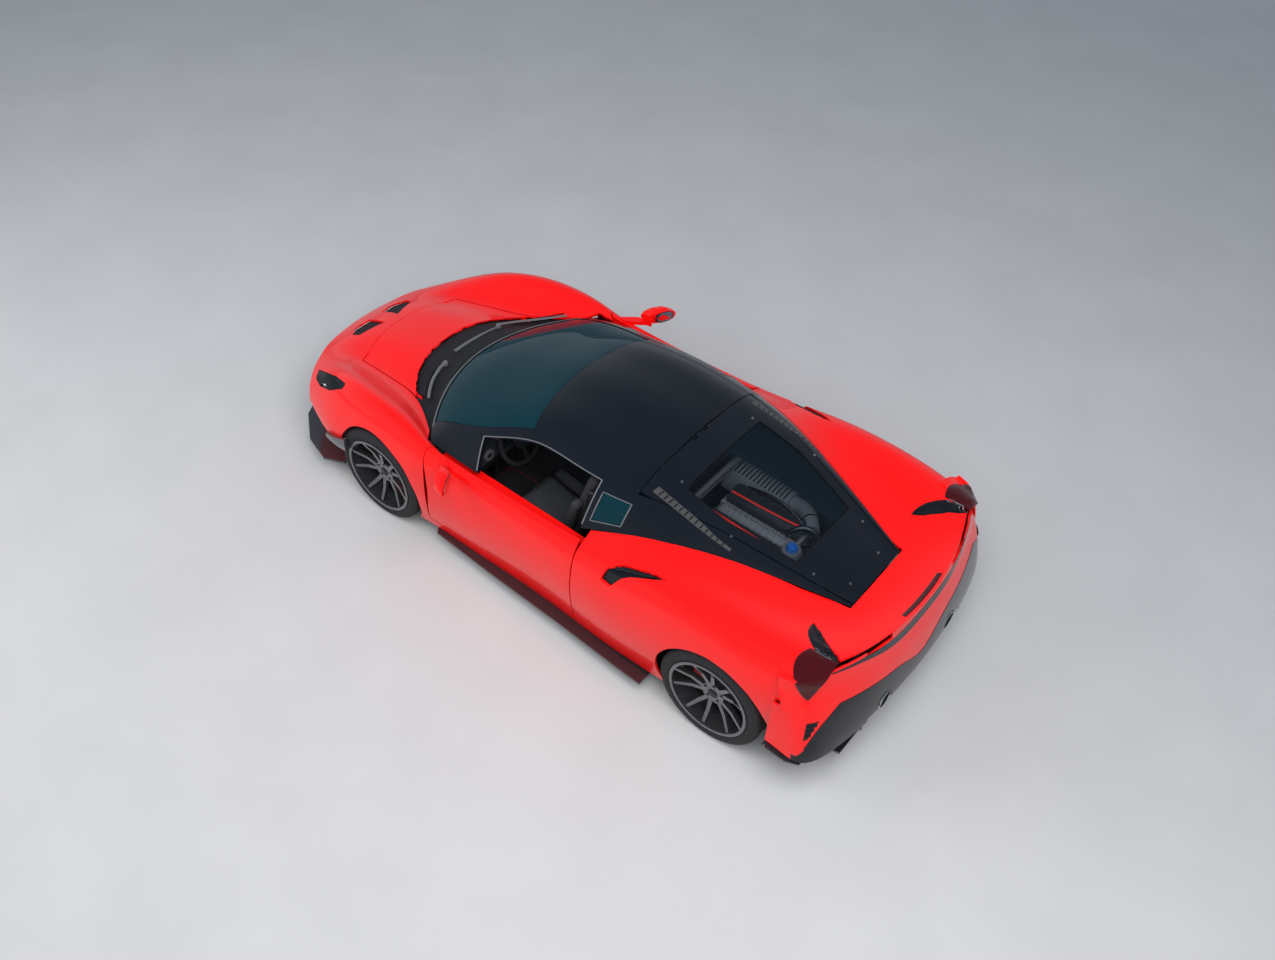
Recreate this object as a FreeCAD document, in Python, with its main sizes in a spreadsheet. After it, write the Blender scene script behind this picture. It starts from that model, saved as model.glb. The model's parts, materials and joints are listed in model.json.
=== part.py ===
"""Mid-engined two-seat supercar, built as separate pieces that are joined as on the real car.

Frame: +X forward, +Y to the left, +Z up. The origin is on the floor below the middle of the car.
"""
import FreeCAD, Part
import math
import os
import re

from FreeCAD import Placement, Rotation, Vector

os.makedirs("parts", exist_ok=True)
doc = FreeCAD.newDocument("supercar")

# Driving dimensions, in millimetres and degrees
SIZES = [
    ("front_axle", 1142.5, "front axle ahead of the origin"),
    ("wheelbase", 2650, "between the axles"),
    ("front_track", 1679, "between the front tyres' middles"),
    ("rear_track", 1649, "between the rear tyres' middles"),
    ("front_tyre", 340, "radius of a front tyre"),
    ("rear_tyre", 345.5, "radius of a rear tyre"),
    ("front_tread", 245, "width of a front tyre"),
    ("rear_tread", 305, "width of a rear tyre"),
    ("rim_seat", 256, "radius of the rims where the tyres sit"),
    ("rim_wall", 9, "wall of a rim's barrel"),
    ("rim_flange", 12, "width of a rim's flange outside the tyre"),
    ("spokes", 5, "pairs of spokes in a rim"),
    ("hub_bore", 34, "radius of a wheel's centre bore"),
    ("running_fit", 0.05, "radial clearance of a wheel on its stub"),
    ("front_disc", 199, "radius of a front brake disc"),
    ("rear_disc", 180, "radius of a rear brake disc"),
    ("disc_width", 32, "thickness of a brake disc"),
    ("kingpin_inset", 92, "steering axis inboard of the tyre's middle"),
    ("kingpin", 13, "radius of the ball-joint pins"),
    ("skin", 14, "thickness of the fixed body panels"),
    ("roof_wall", 30, "thickness of the roof and its pillars"),
    ("glass", 5, "thickness of the glass"),
    ("seam", 0.5, "gap between fixed panels"),
    ("gap", 6, "gap round doors and lids"),
    ("front_arch", 366, "radius of the front wheel arches"),
    ("rear_arch", 374, "radius of the rear wheel arches"),
    ("front_liner", 402, "inner radius of the front wheelhouse liners"),
    ("rear_liner", 398, "inner radius of the rear wheelhouse liners"),
    ("liner_wall", 3, "thickness of the liners"),
    ("hinge_x", 657, "door hinge axis ahead of the origin"),
    ("hinge_y", 905, "door hinge axis outboard of the centre plane"),
    ("door_nose", 62, "radius of the door's front edge about its hinge"),
    ("door_inner", 775, "inner face of a door"),
    ("hinge_pin", 8, "radius of a door hinge pin"),
    ("hinge_fit", 0.3, "radial clearance of the hinge pins"),
    ("arm_plate", 12, "thickness of a door hinge arm"),
    ("floor_low", 103.6, "underside of the floor"),
    ("floor_wall", 16, "thickness of the floor"),
    ("bay_half", 520, "half width of the engine bay"),
    ("trunk_half", 540, "half width of the front luggage tub"),
    ("tub_wall", 12, "walls of the luggage tub and the bay"),
    ("seat_width", 500, "width of a seat"),
    ("seat_y", 370, "seat centre from the centre plane"),
    ("steer_radius", 180, "radius of the steering wheel"),
    ("steer_tube", 15, "radius of the steering wheel's rim section"),
    ("tip_radius", 58, "outer radius of an exhaust tip"),
    ("tip_wall", 3, "wall of an exhaust tip"),
]
sheet = doc.addObject("Spreadsheet::Sheet", "Sizes")
for line, (alias, value, note) in enumerate(SIZES, 1):
    sheet.set("A%d" % line, alias)
    sheet.set("B%d" % line, str(value))
    sheet.set("C%d" % line, note)
    sheet.setAlias("B%d" % line, alias)
doc.recompute()
S = {alias: float(sheet.get(alias)) for alias, value, note in SIZES}
WORDS = re.compile(r"\b(" + "|".join(sorted(S, key=len, reverse=True)) + r")\b")

rear_axle = S["front_axle"] - S["wheelbase"]

# Sections of the lower body. x is the station on the centre plane. sweep is how far the station
# has moved back at 900 out. The other columns are y and z of the sill, the waist, the crest of
# the wings and the valley that bounds the lids, and z on the centre plane.
BODY = [
    # x     sweep  sill       waist      crest      valley     centre
    (2300,   430, 560, 330,  800, 400,  640, 505,  420, 490,  455),
    (2150,   430, 700, 250,  905, 400,  690, 620,  430, 560,  545),
    (1900,   420, 850, 180,  965, 430,  750, 770,  450, 620,  640),
    (1560,   400, 900, 140,  978, 470,  822, 855,  500, 690,  720),
    (1240,   370, 905, 130,  975, 510,  850, 850,  600, 745,  790),
    (985,    300, 895, 125,  968, 530,  866, 808,  815, 785,  850),
    (600,    200, 890, 120,  960, 545,  878, 794,  845, 792,  900),
    (150,    100, 885, 120,  955, 550,  880, 800,  850, 800,  950),
    (-300,    40, 890, 120,  968, 560,  880, 820,  825, 828,  960),
    (-700,     0, 910, 125,  992, 570,  862, 862,  725, 928, 1000),
    (-1100,  -40, 915, 140,  996, 600,  885, 915,  575, 960,  990),
    (-1507,  -90, 915, 160,  992, 620,  880, 945,  420, 915,  900),
    (-1850, -150, 910, 200,  985, 640,  870, 935,  300, 850,  845),
    (-2080, -200, 880, 260,  965, 640,  830, 935,  290, 872,  868),
    (-2235, -230, 820, 320,  940, 640,  790, 938,  330, 935,  935),
]
# Sections of the glasshouse, from the windscreen's foot to the tail of the engine lid. sweep is
# at 823 out. The other columns are y and z of the belt and of the roof rail, and z at the centre.
CANOPY = [
    # x     sweep  belt       rail        centre
    (1140,   364, 823, 772,  700, 776,   790),
    (985,    290, 826, 781,  690, 838,   866),
    (620,    225, 848, 792,  650, 965,  1010),
    (235,    200, 852, 802,  545, 1100, 1150),
    (-150,    90, 850, 818,  545, 1135, 1206),
    (-550,    10, 770, 895,  545, 1112, 1188),
    (-900,     0, 652, 956,  510, 1078, 1122),
    (-1300,    0, 495, 946,  440, 996,  1026),
    (-1650,    0, 368, 889,  350, 907,   925),
    (-1928,    0, 265, 839,  255, 843,   846),
]


class Spline:
    """Natural cubic curve through points (t, value), straight past its ends."""

    def __init__(self, ts, values):
        if ts[0] > ts[-1]:
            ts, values = ts[::-1], values[::-1]
        self.t, self.value = list(ts), list(values)
        count = len(ts)
        self.step = [ts[i + 1] - ts[i] for i in range(count - 1)]
        low, mid, high, right = [0] * count, [1] * count, [0] * count, [0] * count
        for i in range(1, count - 1):
            before, after = self.step[i - 1], self.step[i]
            low[i], mid[i], high[i] = before, 2 * (before + after), after
            right[i] = 6 * ((values[i + 1] - values[i]) / after - (values[i] - values[i - 1]) / before)
        for i in range(1, count):
            factor = low[i] / mid[i - 1]
            mid[i] -= factor * high[i - 1]
            right[i] -= factor * right[i - 1]
        self.bend = [0] * count
        self.bend[-1] = right[-1] / mid[-1]
        for i in range(count - 2, -1, -1):
            self.bend[i] = (right[i] - high[i] * self.bend[i + 1]) / mid[i]

    def __call__(self, t):
        i = 0
        while i < len(self.t) - 2 and t > self.t[i + 1]:
            i += 1
        step, value, bend = self.step[i], self.value, self.bend
        after, before = t - self.t[i], self.t[i + 1] - t
        slope = (value[i + 1] - value[i]) / step
        if after < 0:
            return value[i] + after * (slope - step * (2 * bend[i] + bend[i + 1]) / 6)
        if before < 0:
            return value[i + 1] - before * (slope + step * (bend[i] + 2 * bend[i + 1]) / 6)
        return ((bend[i] * before ** 3 + bend[i + 1] * after ** 3) / (6 * step)
                + (value[i] / step - bend[i] * step / 6) * before
                + (value[i + 1] / step - bend[i + 1] * step / 6) * after)


class Skin:
    """Smooth surface through the sections of a table, with u across the car and v along it."""

    def __init__(self, table, rows, width, whole):
        stations = [row[0] for row in table]
        columns = range(1, len(table[0]))
        self.columns = [Spline(stations, [row[k] for row in table]) for k in columns]
        self.rows, self.width, self.whole = rows, width, whole
        self.cache = {}

    def section(self, v):
        """Curves across the car at station v and the distance along them at each row."""
        if v not in self.cache:
            sweep, *numbers = [column(v) for column in self.columns]
            points = [Vector(v - sweep * (y / self.width) ** 2, y, z) for y, z in self.rows(*numbers)]
            if self.whole:
                points += [Vector(p.x, -p.y, p.z) for p in points[-2::-1]]
            along = [0]
            for before, after in zip(points, points[1:]):
                along.append(along[-1] + before.distanceToPoint(after))
            self.cache[v] = along, [Spline(along, [p[k] for p in points]) for k in range(3)]
        return self.cache[v]

    def at(self, u, v):
        along, curves = self.section(v)
        row = min(max(int(u), 0), len(along) - 2)
        distance = along[row] + (u - row) * (along[row + 1] - along[row])
        return Vector(*[curve(distance) for curve in curves])

    def normal(self, u, v):
        """Outward unit normal."""
        du = self.at(u + 0.01, v) - self.at(u - 0.01, v)
        dv = self.at(u, v + 2) - self.at(u, v - 2)
        return du.cross(dv).normalize()


def side_rows(sill_y, sill_z, waist_y, waist_z, crest_y, crest_z, valley_y, valley_z, centre_z):
    """Left side of a body section, from the sill over the crest to the valley."""
    rows = [(sill_y, sill_z), (waist_y - (waist_y - sill_y) * 0.25, (sill_z + waist_z) / 2)]
    rows.append((waist_y, waist_z))
    for turn in (30, 60):
        out, up = math.cos(math.radians(turn)), math.sin(math.radians(turn))
        full = 2 / 2.25
        rows.append((crest_y + (waist_y - crest_y) * out ** full, waist_z + (crest_z - waist_z) * up ** full))
    return rows + [(crest_y, crest_z), ((crest_y + valley_y) / 2, (crest_z + valley_z) / 2), (valley_y, valley_z)]


def top_rows(*columns):
    """Top of a body section, from the left valley to the centre plane."""
    valley_y, valley_z, centre_z = columns[-3:]
    return [(valley_y, valley_z), (valley_y * 0.55, centre_z - (centre_z - valley_z) * 0.3), (0, centre_z)]


def body_rows(*columns):
    """Left half of a body section, from the sill to the centre plane."""
    return side_rows(*columns) + top_rows(*columns)[1:]


def canopy_rows(belt_y, belt_z, rail_y, rail_z, centre_z):
    """Left half of a glasshouse section, from the belt to the centre plane."""
    lean, rise, crown = belt_y - rail_y, rail_z - belt_z, centre_z - rail_z
    return [(belt_y, belt_z), (belt_y - lean * 0.42, belt_z + rise * 0.5),
            (rail_y + lean * 0.12, belt_z + rise * 0.9), (rail_y * 0.85, rail_z + crown * 0.38),
            (rail_y * 0.45, centre_z - crown * 0.2), (0, centre_z)]


body_skin = Skin(BODY, body_rows, 900.0, True)
canopy_skin = Skin(CANOPY, canopy_rows, 823.0, True)


# Solids from surfaces
def facets(grid, flip):
    """Triangles over a grid of points, the right side split as the left one's mirror image."""
    faces = []
    for row, above in zip(grid, grid[1:]):
        for i in range(len(row) - 1):
            a, b, c, d = row[i], above[i], above[i + 1], row[i + 1]
            right = a.y + b.y + c.y + d.y < -0.01
            for three in ([a, b, d], [b, c, d]) if right else ([a, b, c], [a, c, d]):
                if flip:
                    three.reverse()
                faces.append(Part.Face(Part.makePolygon(three + three[:1])))
    return faces


def between(outer, inner):
    """Solid between two grids of points, closed round its edge."""
    faces = facets(outer, False) + facets(inner, True)
    turned = [list(column) for column in zip(*outer)], [list(column) for column in zip(*inner)]
    for above, below, flip in ((outer[0], inner[0], True), (outer[-1], inner[-1], False),
                               (turned[0][0], turned[1][0], False), (turned[0][-1], turned[1][-1], True)):
        faces += facets([above, below], flip)
    shell = Part.Shell(faces)
    shell.sewShape()
    solid = Part.Solid(shell)
    if solid.Volume < 0:
        solid.reverse()
    return solid


def slab(skin, us, vs, out, depth):
    """Piece of a skin between its outer side, moved out, and the depth below it."""
    outer = [[skin.at(u, v) + skin.normal(u, v) * out for v in vs] for u in us]
    inner = [[skin.at(u, v) - skin.normal(u, v) * depth for v in vs] for u in us]
    return between(outer, inner)


def closed(rings):
    """Solid through closed rings of points, with a flat cap at each end."""
    faces = facets([ring + ring[:1] for ring in rings], False)
    faces += [Part.Face(Part.makePolygon(ring + ring[:1])) for ring in (rings[0], rings[-1])]
    shell = Part.Shell(faces)
    shell.sewShape()
    solid = Part.Solid(shell)
    if solid.Volume < 0:
        solid.reverse()
    return solid


def steps(first, last, count):
    return [first + (last - first) * i / (count - 1) for i in range(count)]


def prism_z(outline, low, high):
    wire = Part.makePolygon([Vector(x, y, low) for x, y in outline + outline[:1]])
    return Part.Face(wire).extrude(Vector(0, 0, high - low))


def prism_y(outline, low, high):
    wire = Part.makePolygon([Vector(x, low, z) for x, z in outline + outline[:1]])
    return Part.Face(wire).extrude(Vector(0, high - low, 0))


def cylinder_y(radius, x, z, low, high):
    return Part.makeCylinder(radius, high - low, Vector(x, low, z), Vector(0, 1, 0))


def cylinder_z(radius, x, y, low, high):
    return Part.makeCylinder(radius, high - low, Vector(x, y, low), Vector(0, 0, 1))


def block(low, high):
    size = [b - a for a, b in zip(low, high)]
    return Part.makeBox(size[0], size[1], size[2], Vector(*low))


def mirrored(shape):
    return shape.mirror(Vector(0, 0, 0), Vector(0, 1, 0))


def both(shape):
    """The left piece and its mirror image on the right."""
    return Part.makeCompound([shape, mirrored(shape)])


def revolved_y(outline, y_middle, x, z):
    """Ring with the outline (radius, y) turned about an axle along Y."""
    wire = Part.makePolygon([Vector(r, y, 0) for r, y in outline + outline[:1]])
    ring = Part.Face(wire).revolve(Vector(0, 0, 0), Vector(0, 1, 0), 360)
    ring.translate(Vector(x, y_middle, z))
    return ring


nodes = {}


def add(name, shape):
    """Sub-part whose shape is worked out from the skins."""
    solids = shape.Solids
    item = doc.addObject("Part::Feature", name)
    item.Label = name
    item.Shape = solids[0] if len(solids) == 1 else Part.makeCompound(solids)
    nodes[name] = item
    return item


def largest(shape):
    return max(shape.Solids, key=lambda solid: solid.Volume)


# Document features bound to the sheet
def bind(item, prop, text):
    item.setExpression(prop, WORDS.sub(r"Sizes.\1", str(text)))


def place(item, x, y, z):
    for axis, text in zip("xyz", (x, y, z)):
        bind(item, "Placement.Base." + axis, text)
    return item


def box(length, width, height, x, y, z):
    item = doc.addObject("Part::Box", "block")
    for prop, text in (("Length", length), ("Width", width), ("Height", height)):
        bind(item, prop, text)
    return place(item, x, y, z)


TURNS = {"x": Rotation(Vector(0, 1, 0), 90), "y": Rotation(Vector(1, 0, 0), -90), "z": Rotation()}


def rod(axis, radius, length, x, y, z):
    item = doc.addObject("Part::Cylinder", "rod")
    bind(item, "Radius", radius)
    bind(item, "Height", length)
    item.Placement = Placement(Vector(), TURNS[axis])
    return place(item, x, y, z)


def joined(*items):
    item = doc.addObject("Part::MultiFuse", "joined")
    item.Shapes = list(items)
    return item


def cut(base, *tools):
    item = doc.addObject("Part::Cut", "cut")
    item.Base = base
    item.Tool = tools[0] if len(tools) == 1 else joined(*tools)
    return item


def group(*items):
    item = doc.addObject("Part::Compound", "group")
    item.Links = list(items)
    return item


def mirror(source):
    item = doc.addObject("Part::Mirroring", "mirror")
    item.Source = source
    item.Normal = Vector(0, 1, 0)
    return item


def pair(item):
    return group(item, mirror(item))


def keep(name, item):
    """Names the feature that is one sub-part."""
    item.Label = name
    nodes[name] = item
    return item


# Body panels
SIDE = list(range(8))
SKIN_TOP = [7.003, 8, 9, 10, 10.997]
seam, gap, skin = S["seam"], S["gap"], S["skin"]
front_axle = S["front_axle"]
hinge_x, hinge_y, door_nose = S["hinge_x"], S["hinge_y"], S["door_nose"]
bumper_rear, lid_front = 1985, 1895
sill_front, door_back, sill_top = 880, -470, 0.45
tail_end, bumper_front, bumper_top = -2235, -1905, 700

lamp_plan = [(1992, 664), (1850, 706), (1700, 745), (1560, 790), (1562, 822), (1700, 822), (1840, 786), (1950, 728)]
lamp_hole = prism_z(lamp_plan, 300, 1000)
duct_plan = [(1975, 60), (2040, 250), (2105, 262), (2165, 180), (2150, 60)]
duct_hole = prism_z(duct_plan, 300, 700)
nose = slab(body_skin, steps(0, 18, 19), [bumper_rear + seam, 2060, 2150, 2225, 2300], 0, skin)
nose_top = slab(body_skin, [7, 8, 9, 10, 11], [lid_front + gap, 1940, bumper_rear + seam], 0, skin)
grille_hole = block((1700, -560, 270), (2400, 560, 395))
front_bumper = nose.fuse(nose_top).cut(grille_hole).cut(both(duct_hole)).cut(both(lamp_hole))
add("front_bumper", largest(front_bumper))

pillar_plan = [(880, 600), (870, 722), (800, 808), (785, 829), (620, 846), (430, 854), (430, 600)]
pillar_room = prism_z(pillar_plan, 700, 1100)
front_arch = cylinder_y(S["front_arch"], front_axle, S["front_tyre"], 600.5, 1100)
FENDER = [bumper_rear, 1850, 1700, 1560, 1400, 1240, 1100, 985, sill_front]
fender = slab(body_skin, SIDE, FENDER, 0, skin).cut(front_arch).cut(lamp_hole).cut(pillar_room)
fender = fender.cut(cylinder_z(door_nose + gap, hinge_x, hinge_y, 209.5, 1000))
fender = fender.cut(block((-500, 600, 209.5), (hinge_x, 1100, 1200)))
door_sweep = [(hinge_x - 1, hinge_y + 138), (hinge_x - 1, hinge_y + 36), (hinge_x + 58, hinge_y + 36)]
fender = fender.cut(prism_z(door_sweep, 209.5, 1000))
fender = fender.cut(cylinder_y(S["front_arch"] + 22, front_axle, S["front_tyre"], 600.5, 888))
add("front_fenders", both(largest(fender)))

rocker = slab(body_skin, [0, sill_top - 0.02], [sill_front - seam, 600, 300, 0, -300, door_back - gap + seam], 0, skin)
add("rocker_panels", both(rocker))

belt = [canopy_skin.at(0, v) for v in (-380, -550, -700, -900, -1100, -1300, -1500, -1650, -1800, -1928)]
belt_plan = [(p.x, p.y + seam) for p in belt]
belt_plan += [(-1928, 0), (-380, 0)]
rear_arch = cylinder_y(S["rear_arch"], rear_axle, S["rear_tyre"], 600.5, 1100)
HAUNCH = [door_back - gap, -600, -720, -850, -980, -1100, -1300, -1507, -1680, -1850, -1990, -2110, tail_end]
haunch = slab(body_skin, SIDE, HAUNCH, 0, skin).cut(rear_arch).cut(prism_z(belt_plan, 600, 1300))
haunch = haunch.cut(block((-2400, 600, 0), (bumper_front, 1100, bumper_top)))
intake_plan = [(-690, 1010), (-730, 915), (-800, 872), (-1010, 832), (-1078, 838), (-1010, 872), (-880, 915), (-800, 960)]
intake_hole = prism_z(intake_plan, 760, 1100)
pod_plan = [(-1835, 520), (-1850, 600), (-1990, 720), (-2075, 760), (-2100, 690), (-2010, 640), (-1900, 560)]
pod_hole = prism_z(pod_plan, 800, 1100)
haunch = haunch.cut(intake_hole).cut(pod_hole)
add("rear_fenders", both(largest(haunch)))

deck = slab(body_skin, SKIN_TOP, [-1900, -2010, -2110, tail_end], 0, skin)
deck = deck.cut(block((-1928.5, -600, 600), (-1800, 600, 1200)))
deck = largest(deck.cut(both(largest(haunch))))
add("rear_deck", deck)

# Rear bumper: plan curves at two heights, from the wheel arch round to the centre plane
TAIL_LOW = [(-1906, 985), (-2010, 992), (-2100, 990), (-2165, 940), (-2215, 820), (-2260, 600), (-2290, 330), (-2302.5, 0)]
TAIL_HIGH = [(-1906, 965), (-1960, 950), (-2000, 925), (-2050, 860), (-2105, 750), (-2165, 580), (-2212, 330), (-2222, 0)]
TAIL_LEVELS = [(360, -0.1), (460, 0), (600, 0.25), (bumper_top, 0.5), (800, 0.8), (915, 1.0)]


def tail_grid(inset):
    grid = []
    for z, share in TAIL_LEVELS:
        row = []
        for low, high in zip(TAIL_LOW, TAIL_HIGH):
            x, y = [a + share * (b - a) for a, b in zip(low, high)]
            reach = math.hypot(x + 1700, y)
            row.append(Vector(x - inset * (x + 1700) / reach, y - inset * y / reach, z))
        grid.append(row + [Vector(p.x, -p.y, p.z) for p in row[-2::-1]])
    return grid


tail = between(tail_grid(0), tail_grid(skin))
wing_band = slab(body_skin, SIDE, [-1850, -1990, -2110, tail_end - 12], 30, 60)
wing_band = wing_band.common(block((-2400, 0, bumper_top - seam), (-1800, 1100, 1100)))
deck_band = slab(body_skin, [6.8, 8, 9, 10, 11.2], [-2100, tail_end - 12], 30, skin + seam)
tail = tail.cut(both(wing_band)).cut(deck_band)
tip_y, tip_z, tip_r = 363, 411, S["tip_radius"]
tip_hole = Part.makeCylinder(tip_r + 6, 500, Vector(-2450, tip_y, tip_z), Vector(1, 0, 0))
tail = tail.cut(block((-2400, -520, 300), (-2100, 520, 390))).cut(both(tip_hole))
add("rear_bumper", largest(tail.cut(deck)))

# Glasshouse
CANOPY_FRONT = [1130, 960, 800, 620, 430, 235, 40, -150, -280, -400]
CANOPY_REAR = [-400, -550, -730, -900, -1100, -1300, -1480, -1650, -1800, -1925]
wall = S["roof_wall"]
roof = slab(canopy_skin, [0.12, 1, 2, 3, 4, 5, 6, 7, 8, 9, 9.88], CANOPY_FRONT, 0, wall)
roof = roof.fuse(slab(canopy_skin, list(range(11)), CANOPY_REAR, 0, wall))
screen_rows, screen_stations = [2.3, 3, 4, 5, 6, 7, 7.7], [1100, 960, 790, 620, 430, 240]
side_rows_cut, side_stations = [-0.3, 1, 1.8], [590, 400, 200, 0, -200, -395]
quarter_rows, quarter_stations = [0.35, 1.45], [-445, -560, -640]
screen_hole = slab(canopy_skin, screen_rows, screen_stations, 30, 80)
side_hole = slab(canopy_skin, side_rows_cut, side_stations, 60, 90)
quarter_hole = slab(canopy_skin, quarter_rows, quarter_stations, 30, 60)
lid_plan = [(-640, 0), (-640, 560), (-1928, 252), (-1928, 0)]
roof = roof.cut(screen_hole).cut(both(side_hole)).cut(both(quarter_hole))
roof = roof.cut(both(prism_z(lid_plan, 600, 1400)))
roof = roof.cut(both(cylinder_z(door_nose + gap, hinge_x, hinge_y, 600, 1200)))
add("roof_panel", largest(roof))


def inset(outline, distance):
    """Outline in plan moved towards its middle."""
    middle_x = sum(x for x, y in outline) / len(outline)
    moved = []
    for x, y in outline:
        x += distance if x < middle_x else -distance
        moved.append((x, y - math.copysign(distance, y) if y else y))
    return moved


LID = [-600, -730, -900, -1100, -1300, -1480, -1650, -1800, -1960]
lid_shell = slab(canopy_skin, list(range(11)), LID, 0, 20)
lid_inset = inset(lid_plan, gap)
window_plan = [(-834, 0), (-834, 368), (-1130, 372), (-1559, 273), (-1559, 0)]
lid_shell = lid_shell.common(both(prism_z(lid_inset, 600, 1400)).fuse([block((-1922, -100, 600), (-650, 100, 1400))]))
engine_lid = lid_shell.cut(both(prism_z(window_plan, 600, 1400)))
glass_shell = slab(canopy_skin, list(range(11)), LID, -5, 5 + S["glass"])
window_inset = [(x + 0.3 if x < -1200 else x - 0.3, y - 0.3 if y else y) for x, y in window_plan]
lid_glass = glass_shell.common(both(prism_z(window_inset, 600, 1400)).fuse([block((-1500, -50, 600), (-840, 50, 1400))]))


# The lid's hinge: an eye at the middle of its front edge, between two lugs of the roof
rear_hinge_x, rear_hinge_z = lid_plan[0][0] - gap, canopy_skin.at(5, lid_plan[0][0] - gap).z - 13
eye = cylinder_y(12, rear_hinge_x, rear_hinge_z, -30, 30)
eye = eye.fuse(block((rear_hinge_x - 30, -30, rear_hinge_z - 7), (rear_hinge_x, 30, rear_hinge_z + 5)))
lug_room = block((rear_hinge_x - 17, 31, rear_hinge_z - 40), (rear_hinge_x + 20, 66, rear_hinge_z + 40))
corner = prism_z([(-640, 541), (-720, 534.5), (-720, 600), (-640, 600)], 600, 1400)
engine_lid = engine_lid.cut(both(lug_room)).cut(both(corner)).fuse(eye)
engine_lid = engine_lid.cut(cylinder_y(5 + S["hinge_fit"], rear_hinge_x, rear_hinge_z, -70, 70))
roof = roof.cut(cylinder_y(21, rear_hinge_x, rear_hinge_z, -420, 420))
lugs = both(cylinder_y(10, rear_hinge_x, rear_hinge_z, 36, 60)
            .fuse(block((rear_hinge_x, 36, rear_hinge_z - 10), (rear_hinge_x + 40, 60, rear_hinge_z + 8))))
roof = roof.fuse([lugs.Solids[0], lugs.Solids[1], cylinder_y(5, rear_hinge_x, rear_hinge_z, -60, 60)])
nodes["roof_panel"].Shape = largest(roof)
add("engine_lid", largest(engine_lid))
add("engine_lid_glass", largest(lid_glass))

screen = slab(canopy_skin, [2.27, 3, 4, 5, 6, 7, 7.73], [1104, 960, 790, 620, 430, 236], -4, 4 + S["glass"])
quarter = slab(canopy_skin, [0.3, 1.5], [-441, -560, -644], -4, 4 + S["glass"])
screen = screen.cut(nodes["roof_panel"].Shape)
quarter = quarter.cut(nodes["roof_panel"].Shape)
add("fixed_glass", Part.makeCompound([largest(screen), largest(quarter), mirrored(largest(quarter))]))

# Front lid, whose rear edge curves round the black cowl, on two lugs at its rear corners
cowl_edge = [(1430, 0), (1414, 150), (1388, 250), (1345, 350), (1269, 450), (1185, 540), (1145, 580), (1145, 720)]
cowl_room = [(700, 0)] + cowl_edge + [(700, 720)]
LID_FRONT = [lid_front - 1, 1730, 1560, 1400, 1320, 1240]
lid_skin = slab(body_skin, [7.05, 8, 9, 10, 10.95], LID_FRONT, 0, 12).cut(both(pillar_room))
lid_skin = lid_skin.cut(both(prism_z(cowl_room, 500, 1000)))
hood_x, hood_y, hood_pin = 1165, 509, 6
hood_z = lid_skin.common(block((1195, 500, 500), (1225, 525, 900))).BoundBox.ZMin - 12
above_lid = slab(body_skin, [7, 8, 9, 10, 11], [1500, 1400, 1320, 1240, 1150], 300, 6)
profile = [(hood_x - 8, hood_z - 8), (hood_x, hood_z - 12), (1225, hood_z - 4), (1275, 780), (1200, 780),
           (1200, hood_z + 12), (hood_x, hood_z + 12), (hood_x - 8, hood_z + 8)]
lug = prism_y(profile, hood_y, hood_y + 14).fuse(cylinder_y(12, hood_x, hood_z, hood_y, hood_y + 14)).cut(above_lid)
lug = largest(lug.cut(cylinder_y(hood_pin + S["hinge_fit"], hood_x, hood_z, hood_y - 1, hood_y + 15)))
front_lid = lid_skin.fuse([lug, mirrored(lug)])
add("front_lid", largest(front_lid))

# Black cowl between the lid and the windscreen's foot
foot = [canopy_skin.at(u, 1124) for u in (0.1, 1, 2, 3, 4, 5)]
foot_room = [(500, 0), (500, foot[0].y)] + [(p.x, p.y) for p in foot]
foot_room[-1] = (foot[-1].x, 0)
cowl = slab(body_skin, [7.05, 8, 9, 10, 10.95], [1560, 1480, 1400, 1320, 1240, 1150, 1075, 985, 900], -18, 28)
cowl_inset = [(x - gap if x > 1140 else x, y) for x, y in cowl_room]
cowl = cowl.common(both(prism_z(cowl_inset, 500, 1000)).fuse(block((1000, -60, 500), (1424, 60, 1000))))
seat_lip = slab(body_skin, [7.05, 8, 9, 10, 10.95], [1320, 1240, 1150, 1075, 985], -20, 40)
cowl = cowl.fuse(seat_lip.common(block((1040, -300, 500), (1160, 300, 1000))))
cowl = cowl.cut(both(prism_z(foot_room, 500, 1000)).fuse(block((500, -60, 500), (1122, 60, 1000))))
notch = block((hood_x - 30, hood_y - 7, 600), (1230, hood_y + 38, 1000))
add("cowl_panel", largest(cowl.cut(both(notch)).cut(nodes["roof_panel"].Shape)))

# Lamps, filling their holes to just below the skin
lens = slab(body_skin, SIDE, [2300, 2225, 2150, 2060, bumper_rear, 1850, 1700, 1650], -4, 40)
lens = lens.common(prism_z([(x - 0.5 if x > 1700 else x + 0.5, y) for x, y in lamp_plan], 300, 1000))
for name in ("front_bumper", "front_fenders"):
    lens = lens.cut(nodes[name].Shape)
add("headlamps", both(largest(lens)))

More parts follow.
